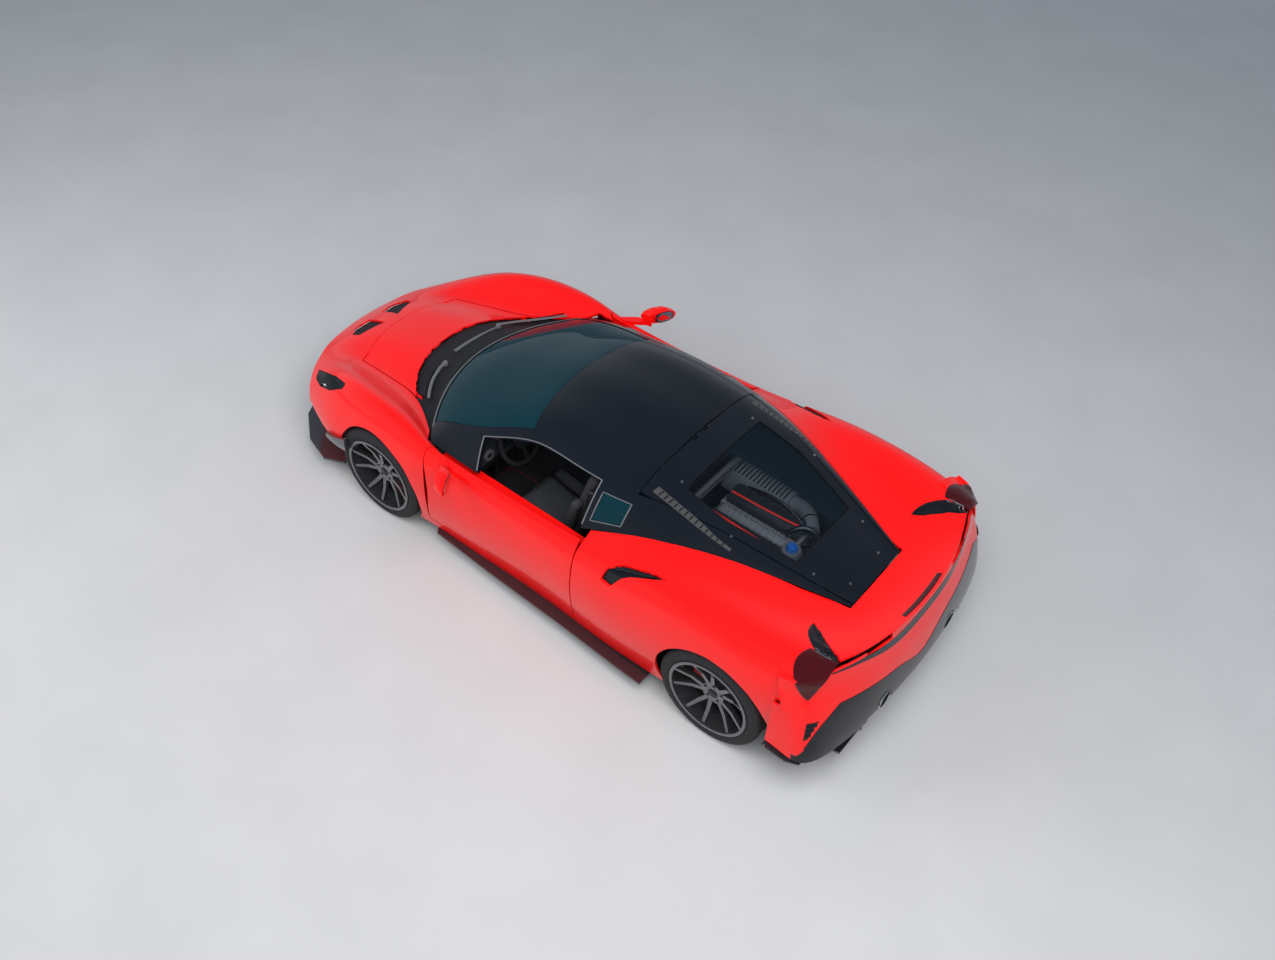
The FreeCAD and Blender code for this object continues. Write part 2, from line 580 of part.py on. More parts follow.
# Doors
DOOR = [1120, 985, 880, 740, 600, 450, 300, 150, 0, -150, -300, -400, door_back]
outer = [[body_skin.at(u, v) for v in DOOR] for u in (sill_top + 0.026, 1, 2, 3, 4, 5)]
inner = [[Vector(p.x, S["door_inner"], p.z) for p in row] for row in outer]
door = between(outer, inner)
keep_region = block((-1000, 600, 0), (hinge_x, 1200, 1200)).fuse(cylinder_z(door_nose, hinge_x, hinge_y, 0, 1200))
door = door.common(keep_region)
door = door.cut(prism_z([(-800, 1100), (-700, 700), (-452, 700), (-452, 775), (-492, 945), (-492, 1100)], 0, 1200))
door = door.cut(block((-700, 700, 750), (hinge_x + 100, 858, 1000)))
arm_levels = (330, 640)
plate, pin = S["arm_plate"], S["hinge_pin"]
for level in arm_levels:
    slot = block((hinge_x - 28, 700, level - plate / 2 - 5), (hinge_x + door_nose + 10, hinge_y + 26, level + plate / 2 + 5))
    door = door.cut(slot)
    door = door.cut(cylinder_z(pin + S["hinge_fit"], hinge_x, hinge_y, level - 30, level + 30))
add("door_left", largest(door))
add("door_right", mirrored(largest(door)))

# Mirrors on the doors
MIRROR = [
    # y     x    z    half_x  half_z
    (962, 488, 836, 46, 28),
    (985, 470, 842, 64, 45),
    (1030, 442, 846, 76, 54),
    (1080, 416, 846, 72, 51),
    (1115, 392, 843, 52, 36),
    (1131, 376, 841, 26, 18),
]
rings = []
for y, x, z, half_x, half_z in MIRROR:
    ring = []
    for k in range(12):
        turn = 2 * math.pi * k / 12
        ring.append(Vector(x + max(half_x * math.cos(turn), -0.55 * half_x), y, z + half_z * math.sin(turn)))
    rings.append(ring)
shell = closed(rings)
foot_level = max(body_skin.at(5, 620).z, body_skin.at(5, 500).z)
stalk = prism_z([(600, 868), (650, 880), (560, 960), (490, 990), (455, 975), (520, 920)], foot_level - 12, foot_level + 14)
stalk = stalk.fuse(prism_z([(500, 950), (500, 990), (450, 990), (440, 965)], foot_level - 12, 840))
mirror_shape = shell.fuse(stalk).cut(nodes["door_left"].Shape)
add("mirror_left", largest(mirror_shape))
add("mirror_right", mirrored(largest(mirror_shape)))

# Tub: floor, sills, tunnel, bulkheads and hinge posts with their arms
floor = joined(box(1860, 1770, "floor_wall", -1100, -885, "floor_low"), box(850, 1080, "floor_wall", 750, -540, "floor_low"))
sills = pair(box(1180, 60, 250, -500, 700, "floor_low + floor_wall"))
tunnel = box(1330, 240, 230, -620, -120, "floor_low + floor_wall")
firewall = box(16, 1410, 700, -620, -705, "floor_low + floor_wall")
back_upper = box(16, 1100, 130, -620, -550, "floor_low + floor_wall + 700")
dash_wall = box(16, 1400, 560, 720, -700, "floor_low + floor_wall")
post = box(68, 100, 632, "hinge_x + 10", 700, "floor_low + floor_wall")
b_post = box(101, 150, 640, -610, 700, "floor_low + floor_wall")
arms = []
for level in arm_levels:
    wire = [(734, 720), (734, 790), (hinge_x + 10, hinge_y + 15), (hinge_x - 12, hinge_y + 14),
            (hinge_x - 15, hinge_y - 11), (694, 720)]
    arm = prism_z(wire, level - plate / 2, level + plate / 2)
    arm = arm.fuse([cylinder_z(20, hinge_x, hinge_y, level - plate / 2, level + plate / 2),
                    cylinder_z(pin, hinge_x, hinge_y, level - 26, level + 26)])
    item = doc.addObject("Part::Feature", "arm")
    item.Shape = arm
    arms.append(item)
side = pair(joined(post, b_post, *arms))
keep("floor_tub", joined(floor, sills, tunnel, firewall, back_upper, dash_wall, side))
doc.recompute()

# Front luggage tub, which carries the front arms and the lid's hinge pins
trunk_back, trunk_step, trunk_front, trunk_low, trunk_high, trunk_lip = 736, 1560, 1800, 119.6, 640, 540
trunk_shell = joined(box(trunk_step - trunk_back, "2 * trunk_half", trunk_high - trunk_low, trunk_back, "-trunk_half", trunk_low),
                     box(trunk_front - trunk_step, "2 * trunk_half", trunk_lip - trunk_low, trunk_step, "-trunk_half", trunk_low))
trunk = cut(trunk_shell, box("%g - 2 * tub_wall" % (trunk_front - trunk_back), "2 * trunk_half - 2 * tub_wall", 600,
                             "%g + tub_wall" % trunk_back, "-trunk_half + tub_wall", 220))
bracket = box(32, "tub_wall", hood_z + 10 - 600, hood_x - 22, "trunk_half - tub_wall", 600)
hood_rod = rod("y", hood_pin, "trunk_half - %g" % (hood_y - 2), hood_x, hood_y - 2, hood_z)
keep("front_structure", joined(trunk, pair(joined(bracket, hood_rod))))

# Engine bay, open at the top
bay_front, bay_back, bay_high = -621, -1960, 690
bay = cut(box(bay_front - bay_back, "2 * bay_half", bay_high - 119.6, bay_back, "-bay_half", 119.6),
          box("%g - 2 * tub_wall" % (bay_front - bay_back), "2 * bay_half - 2 * tub_wall", 900,
              "%g + tub_wall" % bay_back, "-bay_half + tub_wall", "119.6 + tub_wall"))
keep("rear_structure", bay)

# Engine: one plain block with its heads, and the boxes on top that show through the glass
block_low = "119.6 + tub_wall"
engine = joined(box(640, 480, 420, -1420, -240, block_low), box(480, 420, 300, -1890, -210, block_low),
                box(560, 190, 130, -1390, 40, 119.6 + 12 + 420), box(560, 190, 130, -1390, -230, 119.6 + 12 + 420))
keep("engine", engine)
cover = joined(box(520, 150, 60, -1370, 60, 681.6), box(520, 150, 60, -1370, -210, 681.6),
               box(330, 80, 90, -1330, -40, 681.6 - 130))
airbox = pair(box(330, 180, 190, -1010, 240, 500))
keep("engine_airboxes", group(cover, airbox))

# Cabin
cushion = box(470, "seat_width", 150, -130, "seat_y - seat_width / 2", 230)
base = box(380, 380, 111, -90, "seat_y - 190", 119.6)
back = prism_y([(-130, 260), (40, 330), (-40, 360), (-220, 800), (-270, 900), (-340, 890), (-300, 760)],
               S["seat_y"] - 230, S["seat_y"] + 230)
back_item = doc.addObject("Part::Feature", "backrest")
back_item.Shape = back
keep("seats", pair(joined(cushion, base, back_item)))

board = prism_y([(720, 420), (720, 760), (640, 770), (500, 750), (485, 640), (570, 470), (640, 420)], -685, 685)
console = block((-200, -110, 352), (640, 110, 430)).fuse(prism_y([(200, 420), (640, 420), (640, 640)], -100, 100))
column_x, column_y, column_z = 440, S["seat_y"], 700
tilt = 22
shelf_plan = [(715, 0), (715, 690), (760, 690), (880, 600), (960, 490), (1050, 270), (1085, 0)]
board = board.fuse([console] + both(prism_z(shelf_plan, 684, 696)).Solids)
stub = Part.makeCylinder(28, 90, Vector(), Vector(1, 0, 0))
stub.rotate(Vector(), Vector(0, 1, 0), tilt)
stub.translate(Vector(column_x + 12, column_y, column_z - 5))
shaft_dir = Vector(math.cos(math.radians(tilt)), 0, -math.sin(math.radians(tilt)))
hub_pin = Part.makeCylinder(10, 60, Vector(column_x, column_y, column_z) - shaft_dir * 10, shaft_dir)
board = board.fuse([stub, hub_pin])
add("dashboard", largest(board.cut(nodes["roof_panel"].Shape)))
ring = Part.makeTorus(S["steer_radius"] - S["steer_tube"], S["steer_tube"])
hub = Part.makeCylinder(60, 28, Vector(0, 0, -14)).cut(Part.makeCylinder(10.1, 40, Vector(0, 0, -20)))
bars = [Part.makeBox(150, 26, 14, Vector(20, -13, -7)), Part.makeBox(150, 26, 14, Vector(-170, -13, -7)),
        Part.makeBox(30, 150, 14, Vector(-15, -170, -7))]
bore = Part.makeCylinder(10.1, 80, Vector(0, 0, -40))
wheel = ring.fuse([hub] + bars).cut(bore)
wheel.rotate(Vector(), Vector(0, 0, 1), 90)
wheel.rotate(Vector(), Vector(0, 1, 0), 90 + tilt)
wheel.translate(Vector(column_x, column_y, column_z) - shaft_dir * 4)
add("steering_wheel", largest(wheel))

# Wheels, knuckles, brakes and arms
WHEELS = [
    # name         axle  side  tyre radius     half width            track            disc
    ("front_left", 0, 1, S["front_tyre"], S["front_tread"] / 2, S["front_track"], S["front_disc"]),
    ("front_right", 0, -1, S["front_tyre"], S["front_tread"] / 2, S["front_track"], S["front_disc"]),
    ("rear_left", 1, 1, S["rear_tyre"], S["rear_tread"] / 2, S["rear_track"], S["rear_disc"]),
    ("rear_right", 1, -1, S["rear_tyre"], S["rear_tread"] / 2, S["rear_track"], S["rear_disc"]),
]
seat, flange, bore_r = S["rim_seat"], S["rim_flange"], S["hub_bore"]


def tyre_at(radius, half):
    outline = [(seat, -half + 14), (seat, half - 14), (seat + 40, half), (radius - 16, half - 5), (radius, half - 30)]
    outline += [(r, -y) for r, y in outline[:1:-1]]
    return revolved_y(outline, 0, 0, 0)


def rim_at(half):
    top = [(seat - S["rim_wall"], half - 1), (seat + 10, half - 1), (seat + 10, half - 9.5), (seat, half - 13.5)]
    barrel = revolved_y(top + [(r, -y) for r, y in top[::-1]], 0, 0, 0)
    dish = [(50, half - 60), (150, half - 48), (seat - 4, half - 12), (seat - 4, half - 40), (150, half - 78), (50, half - 96)]
    dish_ring = revolved_y(dish, 0, 0, 0)
    bars = []
    count = int(S["spokes"])
    for k in range(count):
        for side in (-1, 1):
            middle = 2 * math.pi * k / count
            foot, end = middle + side * 0.16, middle + side * 0.27
            across = middle + math.pi / 2
            outline = []
            for reach, turn, wide in ((52, foot, 15), (seat - 3, end, 10)):
                x, z = reach * math.cos(turn), reach * math.sin(turn)
                outline.append((x - wide * math.cos(across), z - wide * math.sin(across)))
                outline.append((x + wide * math.cos(across), z + wide * math.sin(across)))
            bars.append(prism_y([outline[0], outline[1], outline[3], outline[2]], -200, 200))
    spokes = dish_ring.common(bars[0].fuse(bars[1:]))
    middle = revolved_y([(bore_r, half - 100), (74, half - 100), (74, half - 58), (bore_r, half - 58)], 0, 0, 0)
    return barrel.fuse([spokes, middle])


def disc_at(half, radius):
    inner = -half / 4
    outline = [(bore_r, half - 100), (bore_r, half - 108), (84, inner + 16), (84, inner - 16), (radius, inner - 16),
               (radius, inner + 16), (92, inner + 16), (90, half - 100)]
    return revolved_y(outline, 0, 0, 0)


def caliper_at(half, radius, angle):
    inner = -half / 4
    ring = revolved_y([(radius - 84, inner - 44), (radius + 22, inner - 44), (radius + 22, inner + 40), (radius - 84, inner + 40)], 0, 0, 0)
    groove = revolved_y([(radius - 90, inner - 21), (radius + 5, inner - 21), (radius + 5, inner + 21), (radius - 90, inner + 21)], 0, 0, 0)
    low, high = math.radians(angle - 30), math.radians(angle + 30)
    wedge = [(0, 0), (400 * math.cos(low), 400 * math.sin(low)), (400 * math.cos(high), 400 * math.sin(high))]
    return ring.cut(groove).common(prism_y(wedge, -300, 300))


def upright_at(half, radius, inset_y, back):
    """Knuckle or rear upright with its stub, in the wheel's own frame."""
    body = block((-42, -inset_y - 24, -150), (42, -inset_y + 24, 150))
    stub_out = half - 61
    stub = cylinder_y(bore_r - S["running_fit"], 0, 0, -inset_y, stub_out)
    bearing = cylinder_y(58, 0, 0, -inset_y, -half / 4 - 22)
    reach = radius - 84
    lug = block((min(back, 0) * reach - 30 if back < 0 else 20, -inset_y - 24, -60), (-20 if back < 0 else reach + 30, -half / 4 - 44, 60))
    return body.fuse([stub, bearing, lug])


rear_calipers, rear_hubs = [], []
for name, axle, side, radius, half, track, disc_r in WHEELS:
    x = (front_axle, rear_axle)[axle]
    z = radius
    spot = Vector(x, track / 2, z)
    back = -1 if axle == 0 else 1
    angle = 180 if axle == 0 else 0
    inset_y = S["kingpin_inset"] + (0 if axle == 0 else 20)
    pieces = {"tyre": tyre_at(radius, half), "rim": rim_at(half), "disc": disc_at(half, disc_r),
              "caliper": caliper_at(half, disc_r, angle), "upright": upright_at(half, disc_r, inset_y, back)}
    for kind, shape in pieces.items():
        shape.translate(spot)
        if side < 0:
            shape = mirrored(shape)
        pieces[kind] = shape
    for kind in ("tyre", "rim", "disc"):
        add(kind + "_" + name, largest(pieces[kind]))
    upright = pieces["upright"].cut(pieces["caliper"])
    if axle == 0:
        king_y = side * (track / 2 - inset_y)
        for low in (z - 151, z + 110):
            upright = upright.cut(Part.makeCylinder(S["kingpin"] + S["running_fit"], 41, Vector(x, king_y, low)))
        add("knuckle_" + name.split("_")[1], largest(upright))
        add("caliper_" + name.split("_")[1], largest(pieces["caliper"]))
    else:
        rear_calipers.append(largest(pieces["caliper"]))
        rear_hubs.append(largest(upright))
add("rear_calipers", Part.makeCompound(rear_calipers))

# Front arms: a plate below and a fork above, each with a ball-joint pin on the steering axis
king_y = S["front_track"] / 2 - S["kingpin_inset"]
trunk_y, mid_z = S["trunk_half"], S["front_tyre"]
low_plate = [(front_axle - 26, king_y), (front_axle - 170, trunk_y), (front_axle + 170, trunk_y), (front_axle + 26, king_y)]
low_z, high_z = mid_z - 150 - 20, mid_z + 150 + 4
lower = prism_z(low_plate, low_z, low_z + 14).fuse([cylinder_z(26, front_axle, king_y, low_z, low_z + 14),
        cylinder_z(S["kingpin"], front_axle, king_y, low_z, mid_z - 115)])
upper = prism_z(low_plate, high_z, high_z + 14).cut(prism_z([(front_axle, king_y - 60), (front_axle - 110, trunk_y - 1),
        (front_axle + 110, trunk_y - 1)], high_z - 1, high_z + 20))
upper = upper.fuse([cylinder_z(26, front_axle, king_y, high_z, high_z + 14),
        cylinder_z(S["kingpin"], front_axle, king_y, mid_z + 115, high_z + 14)])
damper = cylinder_z(30, front_axle, 600, low_z + 14, 600).fuse(block((front_axle - 40, trunk_y, 600), (front_axle + 40, 640, 620)))
add("front_suspension", both(Part.makeCompound([lower.fuse(damper), upper])))

bay_y, mid_r = S["bay_half"], S["rear_tyre"]
hub_y = S["rear_track"] / 2 - S["kingpin_inset"] - 20 - 24
rear_plate = [(rear_axle - 40, hub_y + 30), (rear_axle - 190, bay_y), (rear_axle + 190, bay_y), (rear_axle + 40, hub_y + 30)]
rear_arms = []
for hub_shape, mirror_it in zip(rear_hubs, (False, True)):
    arm_set = prism_z(rear_plate, mid_r - 164, mid_r - 148).fuse([prism_z(rear_plate, mid_r + 148, mid_r + 162),
              cylinder_y(30, rear_axle, mid_r, bay_y, hub_y + 4)])
    arm_set = mirrored(arm_set) if mirror_it else arm_set
    rear_arms.append(largest(hub_shape.fuse(arm_set)))
add("rear_suspension", Part.makeCompound(rear_arms))

# Wheelhouse liners
liners = []
for x, z, inner_r, wall_y, edge_y in ((front_axle, mid_z, S["front_liner"], trunk_y, 862),
                                      (rear_axle, mid_r, S["rear_liner"], bay_y, 900)):
    ring = cylinder_y(inner_r + S["liner_wall"], x, z, wall_y + 0.3, edge_y).cut(cylinder_y(inner_r, x, z, wall_y, edge_y + 1))
    ring = ring.cut(block((x - 500, 400, -200), (x + 500, 1100, 150)))
    liners.append(ring)
front_liner, rear_liner = liners
top_plate = block((front_axle - 160, trunk_y + 0.3, 704), (front_axle + 160, 862, 707))
front_liner = front_liner.cut(block((0, 400, 707), (2000, 1100, 1000))).fuse(top_plate)
front_liner = front_liner.cut(nodes["front_suspension"].Shape)
for name in ("floor_tub", "front_fenders", "front_bumper"):
    front_liner = front_liner.cut(nodes[name].Shape)
for name in ("floor_tub", "rear_fenders", "rear_bumper"):
    rear_liner = rear_liner.cut(nodes[name].Shape)
add("wheel_liners", Part.makeCompound(both(largest(front_liner)).Solids + both(largest(rear_liner)).Solids))

# Black lower trim: splitter, sill blades, diffuser, winglets
splitter_plan = [(1560, 900), (1700, 960), (1900, 900), (2100, 740), (2240, 480), (2302.5, 0)]
splitter_plan += [(x, -y) for x, y in splitter_plan[-2::-1]]
splitter = prism_z(splitter_plan, 128, 146)
doc.recompute()
splitter = splitter.cut(nodes["front_structure"].Shape).cut(nodes["front_bumper"].Shape).cut(nodes["front_fenders"].Shape)
splitter = splitter.cut(nodes["floor_tub"].Shape)
add("front_splitter", largest(splitter))
blade = prism_z([(700, 880), (660, 930), (200, 955), (-400, 975), (-900, 1000), (-1060, 1005), (-1060, 880)], 104, 119)
blade = blade.cut(nodes["floor_tub"].Shape).cut(both(front_arch)).cut(rear_arch)
add("side_skirts", both(largest(blade)))

floor_rear = block((-2240, -700, 200), (-1966, 700, 216))
ramp = prism_y([(-1960, 120), (-2240, 200), (-2240, 216), (-1960, 136)], -700, 700)
fins = [block((-2240, y - 6, 150), (-1980, y + 6, 210)) for y in (-450, -270, -90, 90, 270, 450)]
panel = block((-2262, -519.5, 216), (-2230, 519.5, 389.5))
diffuser = ramp.fuse(fins + [panel]).cut(both(tip_hole))
add("rear_diffuser", largest(diffuser.cut(nodes["rear_bumper"].Shape)))
tip = Part.makeCylinder(tip_r, 230, Vector(-2289, tip_y, tip_z), Vector(1, 0, 0))
tip = tip.cut(Part.makeCylinder(tip_r - S["tip_wall"], 160, Vector(-2289, tip_y, tip_z), Vector(1, 0, 0)))
muffler = block((-2190, -430, 240), (-1960, 430, 470))
exhaust = muffler.fuse([tip, mirrored(tip)])
add("exhaust", largest(exhaust.cut(nodes["rear_diffuser"].Shape)))

# Vents and tail lamps
scoop = slab(body_skin, SIDE, [-640, -720, -850, -980, -1100, -1180], -skin, skin + 34).common(prism_z(intake_plan, 700, 1100))
add("side_intakes", both(largest(scoop.cut(nodes["wheel_liners"].Shape))))
pod = slab(body_skin, SIDE, [-1700, -1850, -1990, -2110, tail_end], -6, 50).common(prism_z(pod_plan, 700, 1100))
add("tail_vents", both(largest(pod.cut(nodes["rear_fenders"].Shape))))
lamp = Part.makeCylinder(52, 60, Vector(-2095, 862, 800), Vector(1, 0, 0))
lamp = lamp.cut(nodes["rear_fenders"].Shape).cut(nodes["rear_bumper"].Shape)
add("tail_lamps", both(largest(lamp)))
duct = slab(body_skin, [7, 8, 9, 10, 11], [2300, 2225, 2150, 2060, 1960], -skin, skin + 20).common(both(duct_hole).fuse([block((2000, -80, 300), (2140, 80, 700))]))
grille = block((2040, -555, 146), (2052, 555, 393))
grilles = Part.makeCompound([largest(duct.cut(nodes["front_bumper"].Shape)), largest(grille.cut(nodes["front_bumper"].Shape))])
add("front_grilles", grilles)

# Check of every piece, then one file for each
doc.recompute()
failed = [item.Name for item in doc.Objects if set(item.State) & {"Invalid", "Error"}]
for name, item in sorted(nodes.items()):
    shape = item.Shape
    good = not shape.isNull() and shape.isValid() and shape.Solids
    if not good:
        failed.append(name)
    print("%-20s %2d solids %8.2f l %s" % (name, len(shape.Solids), shape.Volume / 1e6, "" if good else "BAD"))
if failed:
    raise RuntimeError("failed: " + ", ".join(failed))
for name, item in nodes.items():
    item.Shape.exportStep("parts/%s.step" % name)
print(len(nodes), "sub-parts,", sum(len(item.Shape.tessellate(0.4)[1]) for item in nodes.values()), "triangles")
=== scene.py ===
"""Looks of a low mid-engined car: smooth panels, glass, wheels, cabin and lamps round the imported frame."""
import json
import logging
import math
from dataclasses import dataclass
from enum import Enum
from typing import Callable, Iterable, Optional, Sequence

import bmesh
import bpy
import numpy as np
from mathutils import Matrix, Vector
from mathutils.bvhtree import BVHTree


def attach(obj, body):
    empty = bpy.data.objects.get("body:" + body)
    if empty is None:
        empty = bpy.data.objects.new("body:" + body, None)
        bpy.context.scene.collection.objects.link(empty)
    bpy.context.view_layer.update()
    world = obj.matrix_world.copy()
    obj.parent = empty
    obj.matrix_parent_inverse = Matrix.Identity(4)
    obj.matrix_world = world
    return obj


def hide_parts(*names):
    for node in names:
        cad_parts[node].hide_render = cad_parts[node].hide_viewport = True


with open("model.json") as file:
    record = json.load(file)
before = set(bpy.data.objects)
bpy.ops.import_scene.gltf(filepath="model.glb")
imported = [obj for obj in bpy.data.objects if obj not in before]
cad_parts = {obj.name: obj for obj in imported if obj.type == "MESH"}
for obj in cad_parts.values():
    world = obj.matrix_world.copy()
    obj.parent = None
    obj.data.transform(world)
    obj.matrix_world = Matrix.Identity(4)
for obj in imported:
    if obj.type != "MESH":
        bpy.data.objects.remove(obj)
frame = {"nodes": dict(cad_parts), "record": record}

logging.basicConfig(level=logging.INFO, format="%(message)s")
log = logging.getLogger("car")
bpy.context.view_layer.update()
NODES = frame["nodes"]

# Sections of the lower body in millimetres: x, sweep, then y and z of sill, waist, crest and valley, and centre z
BODY = [
    (2300, 430, 560, 330, 800, 400, 640, 505, 420, 490, 455),
    (2150, 430, 700, 250, 905, 400, 690, 620, 430, 560, 545),
    (1900, 420, 850, 180, 965, 430, 750, 770, 450, 620, 640),
    (1560, 400, 900, 140, 978, 470, 822, 855, 500, 690, 720),
    (1240, 370, 905, 130, 975, 510, 850, 850, 600, 745, 790),
    (985, 300, 895, 125, 968, 530, 866, 808, 815, 785, 850),
    (600, 200, 890, 120, 960, 545, 878, 794, 845, 792, 900),
    (150, 100, 885, 120, 955, 550, 880, 800, 850, 800, 950),
    (-300, 40, 890, 120, 968, 560, 880, 820, 825, 828, 960),
    (-700, 0, 910, 125, 992, 570, 862, 862, 725, 928, 1000),
    (-1100, -40, 915, 140, 996, 600, 885, 915, 575, 960, 990),
    (-1507, -90, 915, 160, 992, 620, 880, 945, 420, 915, 900),
    (-1850, -150, 910, 200, 985, 640, 870, 935, 300, 850, 845),
    (-2080, -200, 880, 260, 965, 640, 830, 935, 290, 872, 868),
    (-2235, -230, 820, 320, 940, 640, 790, 938, 330, 935, 935),
]
# Sections of the glasshouse: x, sweep, then y and z of belt and rail, and centre z
CANOPY = [
    (1140, 364, 823, 772, 700, 776, 790),
    (985, 290, 826, 781, 690, 838, 866),
    (620, 225, 848, 792, 650, 965, 1010),
    (235, 200, 852, 802, 545, 1100, 1150),
    (-150, 90, 850, 818, 545, 1135, 1206),
    (-550, 10, 770, 895, 545, 1112, 1188),
    (-900, 0, 652, 956, 510, 1078, 1122),
    (-1300, 0, 495, 946, 440, 996, 1026),
    (-1650, 0, 368, 889, 350, 907, 925),
    (-1928, 0, 265, 839, 255, 843, 846),
]
# Plan curves of the tail at its lower and upper level, and the share of the way up at each height
TAIL_LOW = [(-1906, 985), (-2010, 992), (-2100, 990), (-2165, 940), (-2215, 820), (-2260, 600), (-2290, 330),
            (-2302.5, 0)]
TAIL_HIGH = [(-1906, 965), (-1960, 950), (-2000, 925), (-2050, 860), (-2105, 750), (-2165, 580), (-2212, 330),
             (-2222, 0)]
TAIL_LEVELS = [(360, -0.1), (460, 0), (600, 0.25), (700, 0.5), (800, 0.8), (915, 1.0)]


class Curves:
    """Natural cubic curves through many sets of points at once."""

    def __init__(self, t: np.ndarray, value: np.ndarray) -> None:
        """Works out the curves.

        Args:
            t: distance at each point, of shape (points, sets).
            value: values at each point, of shape (points, sets).
        """
        self.t, self.value = t, value
        count = len(t)
        step = np.diff(t, axis=0)
        slope = np.diff(value, axis=0) / step
        high, right = np.zeros_like(t), np.zeros_like(t)
        for i in range(1, count - 1):
            mid = 2 * (step[i - 1] + step[i]) - step[i - 1] * high[i - 1]
            high[i] = step[i] / mid
            right[i] = (6 * (slope[i] - slope[i - 1]) - step[i - 1] * right[i - 1]) / mid
        self.bend = np.zeros_like(t)
        for i in range(count - 2, 0, -1):
            self.bend[i] = right[i] - high[i] * self.bend[i + 1]
        self.step = step

    def __call__(self, t: np.ndarray) -> np.ndarray:
        """Value of each set's curve at its own t.

        Args:
            t: distance in each set, of shape (sets,).

        Returns:
            One value for each set.
        """
        column = np.arange(self.t.shape[1])
        i = np.clip((t[None] > self.t).sum(0) - 1, 0, len(self.t) - 2)
        step, bend = self.step[i, column], (self.bend[i, column], self.bend[i + 1, column])
        value = self.value[i, column], self.value[i + 1, column]
        slope = (value[1] - value[0]) / step
        before, after = t - self.t[i, column], self.t[i + 1, column] - t
        inside = ((bend[0] * after ** 3 + bend[1] * before ** 3) / (6 * step)
                  + (value[0] / step - bend[0] * step / 6) * after + (value[1] / step - bend[1] * step / 6) * before)
        first = value[0] + before * (slope - step * (2 * bend[0] + bend[1]) / 6)
        last = value[1] - after * (slope + step * (bend[0] + 2 * bend[1]) / 6)
        return np.where(before < 0, first, np.where(after < 0, last, inside))


class Surface:
    """A smooth surface with two numbers, u across and v along, in metres."""

    def at(self, u: np.ndarray, v: np.ndarray) -> np.ndarray:
        """Points of the surface, of shape (count, 3)."""
        raise NotImplementedError

    def normal(self, u: np.ndarray, v: np.ndarray, dv: float = 2.0) -> np.ndarray:
        """Outward unit normals of the surface.

        Args:
            u: numbers across.
            v: numbers along.
            dv: step along.

        Returns:
            Normals of shape (count, 3).
        """
        du = self.at(u + 0.01, v) - self.at(u - 0.01, v)
        along = self.at(u, v + dv) - self.at(u, v - dv)
        out = np.cross(du, along)
        return out / np.linalg.norm(out, axis=1)[:, None]

    def point(self, u: float, v: float, out: float = 0.0) -> Vector:
        """One point, moved out along the normal by a distance in metres."""
        pair = np.array([float(u)]), np.array([float(v)])
        return Vector(self.at(*pair)[0] + self.normal(*pair)[0] * out)

    def find(self, spots: Sequence, us: tuple[float, float], axes: tuple[int, int] = (0, 1)) -> np.ndarray:
        """Numbers of the surface's points at places seen along one axis.

        Args:
            spots: places in millimetres, as pairs.
            us: lowest and highest u to look in.
            axes: the two coordinates that a pair gives.

        Returns:
            One (u, v) row for each place.
        """
        spots = np.array(spots, float)
        pick = list(axes)
        grid = np.meshgrid(np.linspace(*us, 40), np.linspace(spots[:, 0].min() - 80, spots[:, 0].max() + 480, 120))
        u, v = grid[0].ravel(), grid[1].ravel()
        points = self.at(u, v)[:, pick] * 1000
        best = [int(np.argmin(((points - spot) ** 2).sum(1))) for spot in spots]
        u, v = u[best], v[best]
        for _ in range(5):
            here = self.at(u, v)[:, pick] * 1000
            du = (self.at(u + 0.01, v)[:, pick] * 1000 - here) / 0.01
            dv = self.at(u, v + 1)[:, pick] * 1000 - here
            miss = spots - here
            scale = du[:, 0] * dv[:, 1] - du[:, 1] * dv[:, 0]
            u = u + (miss[:, 0] * dv[:, 1] - miss[:, 1] * dv[:, 0]) / scale
            v = v + (du[:, 0] * miss[:, 1] - du[:, 1] * miss[:, 0]) / scale
        return np.stack([u, v], 1)


